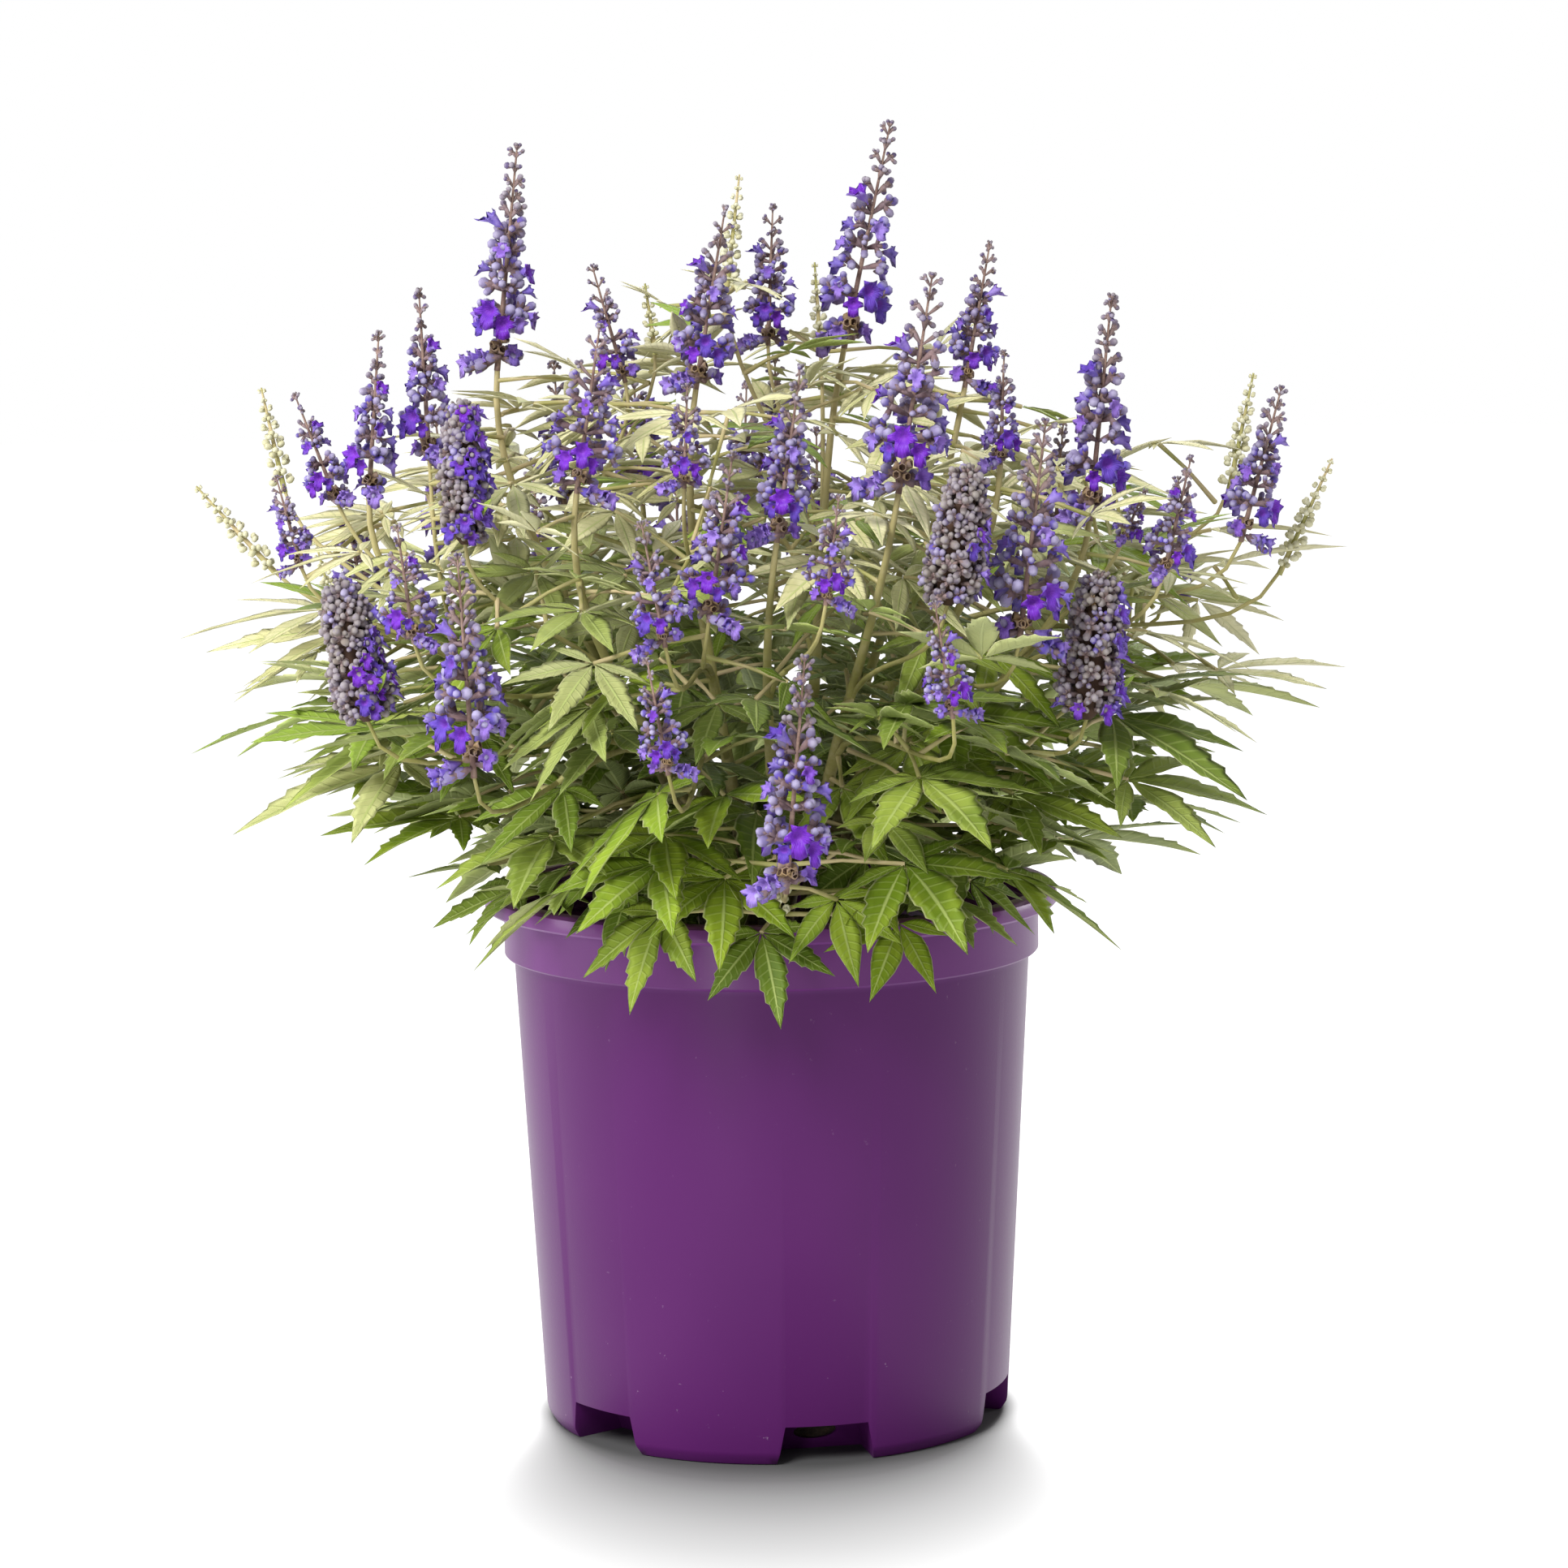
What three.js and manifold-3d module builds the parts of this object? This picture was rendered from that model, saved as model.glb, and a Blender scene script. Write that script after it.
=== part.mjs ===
// Chaste tree in flower: a young shrub of many leafy stems in a moulded plastic nursery pot.
// Millimetres, +Z up. The origin is the middle of the pot's underside, and the seen side faces -Y.
// An azimuth is in degrees, 0 at the front and growing to the right.

import * as THREE from "three";
import { mergeVertices } from "three/addons/utils/BufferGeometryUtils.js";
import Module from "manifold-3d";

const wasm = await Module();
wasm.setup();

// The pot: a tapering wall with a collar and a flat rolled rim, and drain pockets round the foot
const POT_SIDES = 30;
const POT_WALL = 2.2;
const POT_FLOOR = 3;
const RIM_RADIUS = 132;
const RIM_HEIGHT = 247;
const RIM_BAND = 8.5;
const RIM_CORNER = 2.5;
const COLLAR_RADIUS = 123.3;
const COLLAR_FOOT = 217.5;
const WALL_TOP_RADIUS = 119;
const WALL_FOOT_RADIUS = 107.5;
const FOOT_RADIUS = 104;
const FOOT_CORNER = 5;
const POCKET_COUNT = 6;
const POCKET_FIRST_AZIMUTH = 12;
const POCKET_HEIGHT = 18;
const POCKET_FOOT_WIDTH = 45;
const POCKET_TOP_WIDTH = 38;
const POCKET_FOOT_REACH = 76;
const POCKET_TOP_REACH = 86;
const DRAIN_WIDTH = 20;
const DRAIN_HEIGHT = 8;

// The potting mix, a little below the rim
const SOIL_SIDES = 15;
const SOIL_EDGE_HEIGHT = 219;
const SOIL_MOUND = 6;
const SOIL_EDGE_ROUND = 2;
const SOIL_LUMP = 1.5;
const GAP = 0.3;

// The stems
const STEM_FOOT_HEIGHT = 196;
const STEM_COLLAR_HEIGHT = 232;
const MAIN_FOOT_RADIUS = 4.2;
const MAIN_TIP_RADIUS = 1.9;
const MAIN_SIDES = 5;
const MAIN_STEPS = 6;
const SIDE_TIP_RADIUS = 1.8;
const SIDE_SHOOT_SIDES = 3;
const SIDE_SHOOT_STEPS = 4;
// A side shoot is this much thinner than its main stem where it leaves it.
const FORK_SHARE = 0.66;
const LOWEST_FORK = 0.08;
const HIGHEST_FORK = 0.62;

// The leaves: [degrees from the middle leaflet, share of its length] for each leaflet
const FIVE_LEAFLETS = [[-98, 0.52], [-47, 0.86], [0, 1], [47, 0.86], [98, 0.52]];
const THREE_LEAFLETS = [[-47, 0.86], [0, 1], [47, 0.86]];
const BROADEST_AT = 0.42;
const TOOTH_AT = 0.64;
const TOOTH_OUT = 0.8;
const TOOTH_IN = 0.42;
const HALF_WIDTH_SHARE = 0.115;
const FOLD = 0.28;
const SAG = 0.11;
// The leaves at the sides hang less than those in front.
const SIDE_LIFT = 1.1;
const LEAF_HALF_THICKNESS = 1;
const STALK_RADIUS = 0.9;
// Leaves longer than this have five leaflets with teeth, and the others three plain ones.
const FIVE_LEAFLETS_FROM = 63;
const STALK_LENGTHS = [14, 95];
// How long the middle leaflet is, and how far the leaf hangs in degrees, at heights over the floor
const LEAF_SIZES = [[262, 72], [330, 76], [400, 64], [480, 54]];
const LEAF_DROOPS = [[252, 58], [268, 38], [300, 26], [330, 18], [362, 14], [400, 10], [440, 4], [480, -6]];
// How far a leaf may hang, lean and turn away from the way it would be held, in degrees
const UNRULY_HANG = 10;
const UNRULY_ROLL = 26;
const UNRULY_TURN = 34;
const WIDEST_REACH = 276;

// The leaves that show from the front: [x, y, z of the hub, length of the middle leaflet]
const FRONT_LEAVES = [
  [-47, -138, 255, 50], [-14, -144, 254, 44], [16, -146, 255, 42], [46, -140, 256, 50],
  [-93, -112, 262, 60], [104, -110, 268, 58], [-47, -158, 280, 60], [58, -158, 278, 60],
  [-139, -60, 288, 64], [160, -50, 292, 60], [-95, -130, 288, 66], [158, -100, 306, 64],
  [-19, -152, 308, 62], [64, -180, 318, 66], [-47, -180, 312, 66], [102, -156, 325, 68],
  [-143, -110, 328, 76], [150, -110, 336, 76], [-66, -168, 338, 66], [60, -164, 348, 64],
  [-58, -180, 362, 62], [-151, -60, 336, 80], [-200, -10, 378, 72], [204, -20, 386, 70],
  [-196, -30, 336, 66], [205, -20, 338, 66], [208, -12, 304, 58], [-165, -50, 312, 84],
  [204, 6, 408, 60], [-172, -30, 420, 56], [10, -170, 345, 64], [30, -140, 394, 54],
  [-62, -146, 388, 56], [108, -120, 402, 54], [-110, -105, 440, 56], [0, -120, 425, 56],
  [60, -115, 440, 56], [-15, -85, 470, 54],
];

// The leaves of the sides and the back stand in tiers: [height, reach from the pot's axis, how many]
const LEAF_TIERS = [
  [266, 146, 7],
  [300, 172, 7],
  [335, 188, 7],
  [368, 186, 7],
  [405, 176, 7],
  [440, 140, 7],
  [474, 84, 5],
];
const FIRST_TIER_AZIMUTH = 92;
const LAST_TIER_AZIMUTH = 268;

// Each leafy stem leaves the mix at its own azimuth and reach from the pot's axis, and ends in its first
// flower spike. A spike is [x, y, z of its foot, length, width, lean of its tip to the right].
const LEAFY_STEMS = [
  {
    azimuth: -95,
    reach: 24,
    flowers: [[-122, 8, 486, 101, 30, 11], [-63, -11, 480, 54, 26, -14], [-95, 70, 420, 66, 28, -4]],
    cones: [],
    buds: [[-50, 14, 494, 30, 9, -4]],
  },
  {
    azimuth: -75,
    reach: 38,
    flowers: [
      [-176, -64, 433, 72, 22, 6],
      [-193, -32, 428, 52, 22, -18],
      [-150, -48, 448, 75, 26, -3],
      [-205, -83, 403, 41, 19, -10],
    ],
    cones: [],
    buds: [[-220, -4, 434, 46, 12, -9], [-223, -36, 399, 50, 12, -33]],
  },
  {
    azimuth: -44,
    reach: 30,
    flowers: [[-80, -151, 439, 71, 38, 11], [-149, -176, 378, 49, 30, -6], [-123, -204, 324, 92, 37, -5]],
    cones: [[-128, -154, 418, 61, 28, 0], [-171, -157, 343, 61, 33, -11]],
    buds: [],
  },
  {
    azimuth: -14,
    reach: 38,
    flowers: [
      [-30, -61, 479, 80, 32, 14],
      [-34, -163, 441, 43, 24, 2],
      [-24, -184, 386, 71, 33, 11],
      [-42, -210, 378, 52, 28, -9],
      [-41, -231, 327, 48, 24, -8],
    ],
    cones: [],
    buds: [],
  },
  {
    azimuth: 5,
    reach: 26,
    flowers: [[5, -165, 418, 74, 26, 11], [25, -214, 395, 45, 24, 6], [7, -215, 275, 98, 37, 9]],
    cones: [],
    buds: [[3, -134, 253, 26, 12, 4]],
  },
  {
    azimuth: 23,
    reach: 40,
    flowers: [[57, -162, 438, 92, 40, 15], [77, -223, 348, 48, 24, -7]],
    cones: [[76, -197, 393, 58, 33, 10]],
    buds: [],
  },
  {
    azimuth: 40,
    reach: 28,
    flowers: [[102, -122, 447, 48, 19, 2], [107, -172, 373, 95, 40, 12]],
    cones: [[137, -149, 339, 63, 35, 6]],
    buds: [],
  },
  {
    azimuth: 58,
    reach: 38,
    flowers: [[142, -98, 421, 97, 32, 10], [155, -121, 413, 23, 15, 9], [171, -139, 399, 52, 26, 12]],
    cones: [],
    buds: [],
  },
  {
    azimuth: 86,
    reach: 26,
    flowers: [[92, 11, 475, 66, 26, 12], [213, -48, 407, 70, 28, 18], [135, 60, 395, 62, 26, 5]],
    cones: [],
    buds: [[212, -3, 428, 53, 12, 11], [235, -11, 391, 55, 12, 23]],
  },
  {
    azimuth: 120,
    reach: 8,
    flowers: [
      [37, 12, 494, 103, 38, 22],
      [2, 22, 495, 63, 28, 3],
      [5, 95, 420, 66, 28, 0],
      [-12, 152, 400, 72, 30, 3],
    ],
    cones: [],
    buds: [[-16, 9, 525, 48, 11, 6], [26, 40, 496, 36, 9, -2]],
  },
  {
    azimuth: -145,
    reach: 34,
    flowers: [
      [-60, 130, 415, 72, 30, -4],
      [-150, 100, 395, 70, 28, -8],
      [-110, 165, 360, 75, 30, -5],
      [-190, 55, 375, 55, 24, -8],
      [-45, 205, 345, 80, 34, 0],
    ],
    cones: [],
    buds: [[-205, 115, 350, 50, 12, -12]],
  },
  {
    azimuth: 150,
    reach: 34,
    flowers: [
      [70, 125, 418, 70, 30, 4],
      [25, 190, 372, 75, 32, 0],
      [125, 170, 365, 70, 30, 6],
      [190, 85, 372, 55, 26, 6],
      [80, 215, 310, 62, 28, 2],
    ],
    cones: [],
    buds: [],
  },
];

const UP = new THREE.Vector3(0, 0, 1);
const RIGHT = new THREE.Vector3(1, 0, 0);

// Every random draw comes from this one seeded row of numbers.
let drawn = 2026;
function random(low, high) {
  drawn = (Math.imul(drawn, 1664525) + 1013904223) >>> 0;
  return low + ((high - low) * drawn) / 4294967296;
}

function around(azimuth, reach, height) {
  const turn = THREE.MathUtils.degToRad(azimuth);
  return new THREE.Vector3(reach * Math.sin(turn), -reach * Math.cos(turn), height);
}

function sum(...terms) {
  const total = new THREE.Vector3();
  for (const [vector, share] of terms) total.addScaledVector(vector, share);
  return total;
}

// A value read from a row of [place, value] stops, straight between them.
function along(stops, place) {
  let [before, after] = [stops[0], stops[0]];
  for (const stop of stops) {
    after = stop;
    if (stop[0] >= place) break;
    before = stop;
  }
  const span = after[0] - before[0];
  const share = span > 0 ? Math.min(Math.max((place - before[0]) / span, 0), 1) : 0;
  return before[1] + (after[1] - before[1]) * share;
}

// Solids

function solidOf(points, corners) {
  const vertProperties = new Float32Array(points.flatMap((p) => p.toArray()));
  return new wasm.Manifold(new wasm.Mesh({ numProp: 3, vertProperties, triVerts: new Uint32Array(corners) }));
}

function solidOfGeometry(geometry) {
  const bare = geometry.clone();
  bare.deleteAttribute("normal");
  bare.deleteAttribute("uv");
  const merged = mergeVertices(bare, 1e-4);
  const place = merged.attributes.position;
  const points = [];
  for (let i = 0; i < place.count; i++) points.push(new THREE.Vector3().fromBufferAttribute(place, i));
  const corners = [];
  for (let i = 0; i < merged.index.count; i += 3) {
    const [a, b, c] = [0, 1, 2].map((k) => merged.index.getX(i + k));
    if (a !== b && b !== c && c !== a) corners.push(a, b, c);
  }
  return solidOf(points, corners);
}

function geometryOf(solid) {
  const { vertProperties, triVerts } = solid.getMesh();
  const geometry = new THREE.BufferGeometry();
  geometry.setAttribute("position", new THREE.BufferAttribute(vertProperties, 3));
  geometry.setIndex(new THREE.BufferAttribute(triVerts, 1));
  geometry.computeVertexNormals();
  return geometry;
}

// A closed surface put together by hand from points and faces, each face anticlockwise from outside.
class Shell {
  points = [];
  corners = [];
  point(place) {
    this.points.push(place);
    return this.points.length - 1;
  }
  face(first, ...rest) {
    for (let i = 1; i < rest.length; i++) this.corners.push(first, rest[i - 1], rest[i]);
  }
  solid() {
    return solidOf(this.points, this.corners);
  }
}

// Pot and potting mix

function turned(profile, sides) {
  const geometry = new THREE.LatheGeometry(profile.map(([r, z]) => new THREE.Vector2(r, z)), sides);
  return solidOfGeometry(geometry.rotateX(Math.PI / 2));
}

// The profile of the space inside the pot up to the collar, drawn in from its walls by a clearance
function potHollow(clearance) {
  const inset = POT_WALL + clearance;
  const floor = POT_FLOOR + clearance;
  return [[0, floor], [FOOT_RADIUS - inset, floor], [WALL_FOOT_RADIUS - inset, FOOT_CORNER + floor]];
}

// A drain pocket is a wedge cut into the foot. Cut from inside, it is larger by the wall round it.
function pocket(azimuth, wall) {
  const wedge = new THREE.BoxGeometry(1, 1, 1);
  const corner = wedge.attributes.position;
  for (let i = 0; i < corner.count; i++) {
    const top = corner.getZ(i) > 0;
    const outer = corner.getY(i) < 0;
    const halfWidth = (top ? POCKET_TOP_WIDTH : POCKET_FOOT_WIDTH) / 2 + wall;
    const reach = outer ? RIM_RADIUS : (top ? POCKET_TOP_REACH : POCKET_FOOT_REACH) - wall;
    corner.setXYZ(i, Math.sign(corner.getX(i)) * halfWidth, -reach, top ? POCKET_HEIGHT + wall : -1);
  }
  return solidOfGeometry(wedge.rotateZ(THREE.MathUtils.degToRad(azimuth)));
}

function drainHole(azimuth) {
  const hole = new THREE.CylinderGeometry(0.5, 0.5, 16, 8).scale(DRAIN_WIDTH, 1, DRAIN_HEIGHT);
  hole.translate(0, -(POCKET_FOOT_REACH + POCKET_TOP_REACH) / 2, POCKET_HEIGHT / 2);
  return solidOfGeometry(hole.rotateZ(THREE.MathUtils.degToRad(azimuth)));
}

function eachPocket(make) {
  return wasm.Manifold.union(
    Array.from({ length: POCKET_COUNT }, (_, i) => make(POCKET_FIRST_AZIMUTH + (i * 360) / POCKET_COUNT)),
  );
}

function pot() {
  const outside = turned(
    [
      [0, 0],
      [FOOT_RADIUS, 0],
      [WALL_FOOT_RADIUS, FOOT_CORNER],
      [WALL_TOP_RADIUS, COLLAR_FOOT],
      [COLLAR_RADIUS, COLLAR_FOOT + 1],
      [COLLAR_RADIUS, RIM_HEIGHT - RIM_BAND],
      [RIM_RADIUS, RIM_HEIGHT - RIM_BAND],
      [RIM_RADIUS, RIM_HEIGHT - RIM_CORNER],
      [RIM_RADIUS - RIM_CORNER, RIM_HEIGHT],
      [0, RIM_HEIGHT],
    ],
    POT_SIDES,
  );
  const mouth = COLLAR_RADIUS - POT_WALL;
  const hollow = turned(
    [
      ...potHollow(0),
      [WALL_TOP_RADIUS - POT_WALL, COLLAR_FOOT + POT_WALL],
      [mouth, COLLAR_FOOT + 2 * POT_WALL],
      [mouth, RIM_HEIGHT + 1],
      [0, RIM_HEIGHT + 1],
    ],
    POT_SIDES,
  );
  const inside = hollow.subtract(eachPocket((azimuth) => pocket(azimuth, POT_WALL)));
  return outside
    .subtract(inside)
    .subtract(eachPocket((azimuth) => pocket(azimuth, 0)))
    .subtract(eachPocket(drainHole));
}

function soil(stemHoles) {
  const edge = WALL_TOP_RADIUS - POT_WALL - GAP;
  const profile = [
    ...potHollow(GAP),
    [edge, SOIL_EDGE_HEIGHT - SOIL_EDGE_ROUND],
    [edge * 0.7, SOIL_EDGE_HEIGHT + SOIL_MOUND * 0.6],
    [0, SOIL_EDGE_HEIGHT + SOIL_MOUND],
  ];
  const geometry = new THREE.LatheGeometry(profile.map(([r, z]) => new THREE.Vector2(r, z)), SOIL_SIDES);
  const place = geometry.attributes.position;
  for (let i = 0; i < place.count; i++) {
    const [x, height, z] = [place.getX(i), place.getY(i), place.getZ(i)];
    const inner = height > SOIL_EDGE_HEIGHT;
    if (inner) place.setY(i, height + SOIL_LUMP * Math.sin(x * 0.11) * Math.cos(z * 0.13));
  }
  return solidOfGeometry(geometry.rotateX(Math.PI / 2))
    .subtract(eachPocket((azimuth) => pocket(azimuth, POT_WALL + GAP)))
    .subtract(wasm.Manifold.union(stemHoles));
}

// Shoots

// A shoot runs from its root to its end on one curve, and thins towards the end.
function shoot(root, setOff, end, arrive, radii, sides, steps) {
  const span = root.distanceTo(end);
  const room = Math.max(8, (end.z - RIM_HEIGHT) * 0.8);
  const curve = new THREE.CubicBezierCurve3(
    root,
    sum([root, 1], [setOff, span * 0.38]),
    sum([end, 1], [arrive, -Math.min(span * 0.3, room)]),
    end,
  );
  return { centres: curve.getPoints(steps), arrive, span, radii, sides };
}

// A place on a shoot: its centre line is straight between the rings.
function pointAt({ centres }, t) {
  const whole = t * (centres.length - 1);
  const before = Math.min(Math.floor(whole), centres.length - 2);
  return centres[before].clone().lerp(centres[before + 1], whole - before);
}

function directionAt(stem, t) {
  const step = 0.04;
  return pointAt(stem, Math.min(t + step, 1)).sub(pointAt(stem, Math.max(t - step, 0))).normalize();
}

function radiusAt(stem, t) {
  return stem.radii[0] + (stem.radii[1] - stem.radii[0]) * t;
}

// A tube of flat sides through rings. The first and last rings are closed flat.
function tube(rings) {
  const shell = new Shell();
  const rows = rings.map((ring) => ring.map((place) => shell.point(place)));
  const sides = rows[0].length;
  shell.face(...rows[0].slice().reverse());
  for (let i = 1; i < rows.length; i++) {
    for (let k = 0; k < sides; k++) {
      const next = (k + 1) % sides;
      shell.face(rows[i - 1][k], rows[i - 1][next], rows[i][next], rows[i][k]);
    }
  }
  shell.face(...rows[rows.length - 1]);
  return shell.solid();
}

function ring(centre, direction, across, radius, sides) {
  const first = sum([across, 1], [direction, -across.dot(direction)]).normalize();
  const second = new THREE.Vector3().crossVectors(direction, first);
  return Array.from({ length: sides }, (_, k) => {
    const turn = (k * 2 * Math.PI) / sides;
    return sum([centre, 1], [first, radius * Math.cos(turn)], [second, radius * Math.sin(turn)]);
  });
}

function stemRings(stem, grow) {
  const last = stem.centres.length - 1;
  const chord = stem.centres[last].clone().sub(stem.centres[0]).normalize();
  const across = new THREE.Vector3().crossVectors(chord, Math.abs(chord.z) > 0.97 ? RIGHT : UP).normalize();
  return stem.centres.map((centre, i) => {
    const direction = i < last ? directionAt(stem, i / last) : stem.arrive;
    return ring(centre, direction, across, radiusAt(stem, i / last) + grow, stem.sides);
  });
}

// Flower spikes

// Half the width of a spike from its foot to its tip, as a share of its widest
const SPIKE_OUTLINE = [[0, 0.8], [0.2, 1], [0.45, 0.74], [0.6, 0.52], [0.8, 0.4], [1, 0.22]];
const CONE_OUTLINE = [[0, 0.8], [0.15, 1], [0.6, 0.92], [0.85, 0.7], [1, 0.4]];
const BUD_SPIKE_OUTLINE = [[0, 1], [0.5, 0.8], [1, 0.3]];
// Flowers are open up to this share of a spike, and above it are buds.
const FLOWER_SHARE = 0.45;
const BUD_SPIKE_WHORLS = 5;
const BUD_SPIKE_ROOT = 1.5;
const CONE_SIDES = 6;
const CONE_ROUNDS = 6;

function whorlsFor(length) {
  if (length > 84) return 8;
  if (length > 60) return 6;
  return length > 30 ? 5 : 3;
}

function spikeAxis([x, y, z, length, width, lean]) {
  const foot = new THREE.Vector3(x, y, z);
  const tip = new THREE.Vector3(x + lean, y, z + Math.sqrt(length * length - lean * lean));
  const direction = sum([tip, 1], [foot, -1]).normalize();
  return { foot, tip, direction, length, halfWidth: width / 2 };
}

// A flower: the face of the rachis grows into a trumpet of four lobes with a sunk throat. The lowest
// lobe, the lip, stands out the furthest.
function flower(shell, face, centre, out, side, up, reach, half) {
  const roll = random(-0.35, 0.35);
  const lobes = [0, 1, 2, 3].map((k) => {
    const [level, rise] = [Math.sin(roll + (k * Math.PI) / 2), -Math.cos(roll + (k * Math.PI) / 2)];
    return shell.point(
      sum([centre, 1], [out, reach * (0.88 - 0.12 * rise)], [side, level * half], [up, rise * half]),
    );
  });
  const throat = shell.point(sum([centre, 1], [out, reach * 0.6]));
  for (let k = 0; k < 4; k++) {
    const next = (k + 1) % 4;
    shell.face(face[k], face[next], lobes[next], lobes[k]);
    shell.face(lobes[k], lobes[next], throat);
  }
}

// A stalked pair of buds, side by side: the face grows into a wedge.
function budPair(shell, face, centre, out, side, up, reach, half) {
  const [first, second] = [-1, 1].map((s) =>
    shell.point(sum([centre, 1], [out, reach], [side, s * half], [up, reach * 0.25])),
  );
  shell.face(face[0], face[1], second, first);
  shell.face(face[1], face[2], second);
  shell.face(face[2], face[3], first, second);
  shell.face(face[3], face[0], first);
}

// Opposite pairs grow on a square rachis, each pair a quarter turn from the last.
function spike(place, outline, whorls, flowerShare) {
  const axis = spikeAxis(place);
  const shell = new Shell();
  const across = sum([RIGHT, 1], [axis.direction, -axis.direction.x]).normalize();
  const turn = random(0, Math.PI);
  const start = across.clone().applyAxisAngle(axis.direction, turn);
  const rows = [];
  const shares = [];
  for (let i = 0; i <= whorls; i++) {
    const share = Math.pow(i / whorls, 0.9);
    const centre = sum([axis.foot, 1], [axis.direction, share * axis.length * 0.96]);
    shares.push(share);
    rows.push(ring(centre, axis.direction, start, 1.9 - 1.1 * share, 4).map((p) => shell.point(p)));
  }
  shell.face(...rows[0].slice().reverse());
  for (let i = 0; i < whorls; i++) {
    const middle = (shares[i] + shares[i + 1]) / 2;
    const centre = sum([axis.foot, 1], [axis.direction, middle * axis.length * 0.96]);
    const tall = (shares[i + 1] - shares[i]) * axis.length;
    const reach = axis.halfWidth * along(outline, middle) * random(0.88, 1);
    for (let k = 0; k < 4; k++) {
      const next = (k + 1) % 4;
      const face = [rows[i][k], rows[i][next], rows[i + 1][next], rows[i + 1][k]];
      if (k % 2 !== i % 2) {
        shell.face(...face);
        continue;
      }
      const out = start.clone().applyAxisAngle(axis.direction, Math.PI * (0.25 + 0.5 * k));
      const side = new THREE.Vector3().crossVectors(axis.direction, out);
      const half = tall * (i > 0 ? 0.72 : 0.5);
      if (middle < flowerShare) flower(shell, face, centre, out, side, axis.direction, reach, half);
      else budPair(shell, face, centre, out, side, axis.direction, reach, Math.max(reach * 0.4, 1.6));
    }
  }
  const tip = shell.point(axis.tip);
  const last = rows[whorls];
  for (let k = 0; k < 4; k++) shell.face(last[k], last[(k + 1) % 4], tip);
  return shell.solid();
}

// A cone packed with round buds: each face of a six-sided core stands out to a point.
function cone(place) {
  const axis = spikeAxis(place);
  const shell = new Shell();
  const [sides, rounds] = [CONE_SIDES, CONE_ROUNDS];
  const rows = [];
  for (let i = 0; i <= rounds; i++) {
    const share = i / rounds;
    const centre = sum([axis.foot, 1], [axis.direction, share * axis.length * 0.93]);
    const start = RIGHT.clone().applyAxisAngle(axis.direction, (i * Math.PI) / sides);
    const radius = axis.halfWidth * along(CONE_OUTLINE, share) * 0.66;
    rows.push(ring(centre, axis.direction, start, radius, sides).map((p) => shell.point(p)));
  }
  shell.face(...rows[0].slice().reverse());
  for (let i = 0; i < rounds; i++) {
    const reach = axis.halfWidth * along(CONE_OUTLINE, (i + 0.5) / rounds);
    const centre = sum([axis.foot, 1], [axis.direction, ((i + 0.5) / rounds) * axis.length * 0.93]);
    for (let k = 0; k < sides; k++) {
      const next = (k + 1) % sides;
      const angle = ((i + 0.5) * Math.PI) / sides + ((k + 0.5) * 2 * Math.PI) / sides;
      const out = RIGHT.clone().applyAxisAngle(axis.direction, angle);
      const bud = shell.point(sum([centre, 1], [out, reach * random(0.9, 1.05)]));
      shell.face(rows[i][k], rows[i][next], bud);
      shell.face(rows[i][next], rows[i + 1][next], bud);
      shell.face(rows[i + 1][next], rows[i + 1][k], bud);
      shell.face(rows[i + 1][k], rows[i][k], bud);
    }
  }
  const tip = shell.point(axis.tip);
  for (let k = 0; k < sides; k++) shell.face(rows[rounds][k], rows[rounds][(k + 1) % sides], tip);
  return shell.solid();
}

// Leaves

// A point of a leaflet: so far along it, and so far across it to the left. The blade is folded up
// along its rib, and its tip hangs.
function onLeaflet(leaf, [degrees, share], far, across) {
  const turn = THREE.MathUtils.degToRad(degrees);
  const length = leaf.size * share;
  const ahead = far * length;
  return sum(
    [leaf.hub, 1],
    [leaf.forward, ahead * Math.cos(turn) - across * Math.sin(turn)],
    [leaf.left, ahead * Math.sin(turn) + across * Math.cos(turn)],
    [leaf.up, FOLD * Math.abs(across)],
    [UP, -SAG * length * far * far],
  );
}

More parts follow.
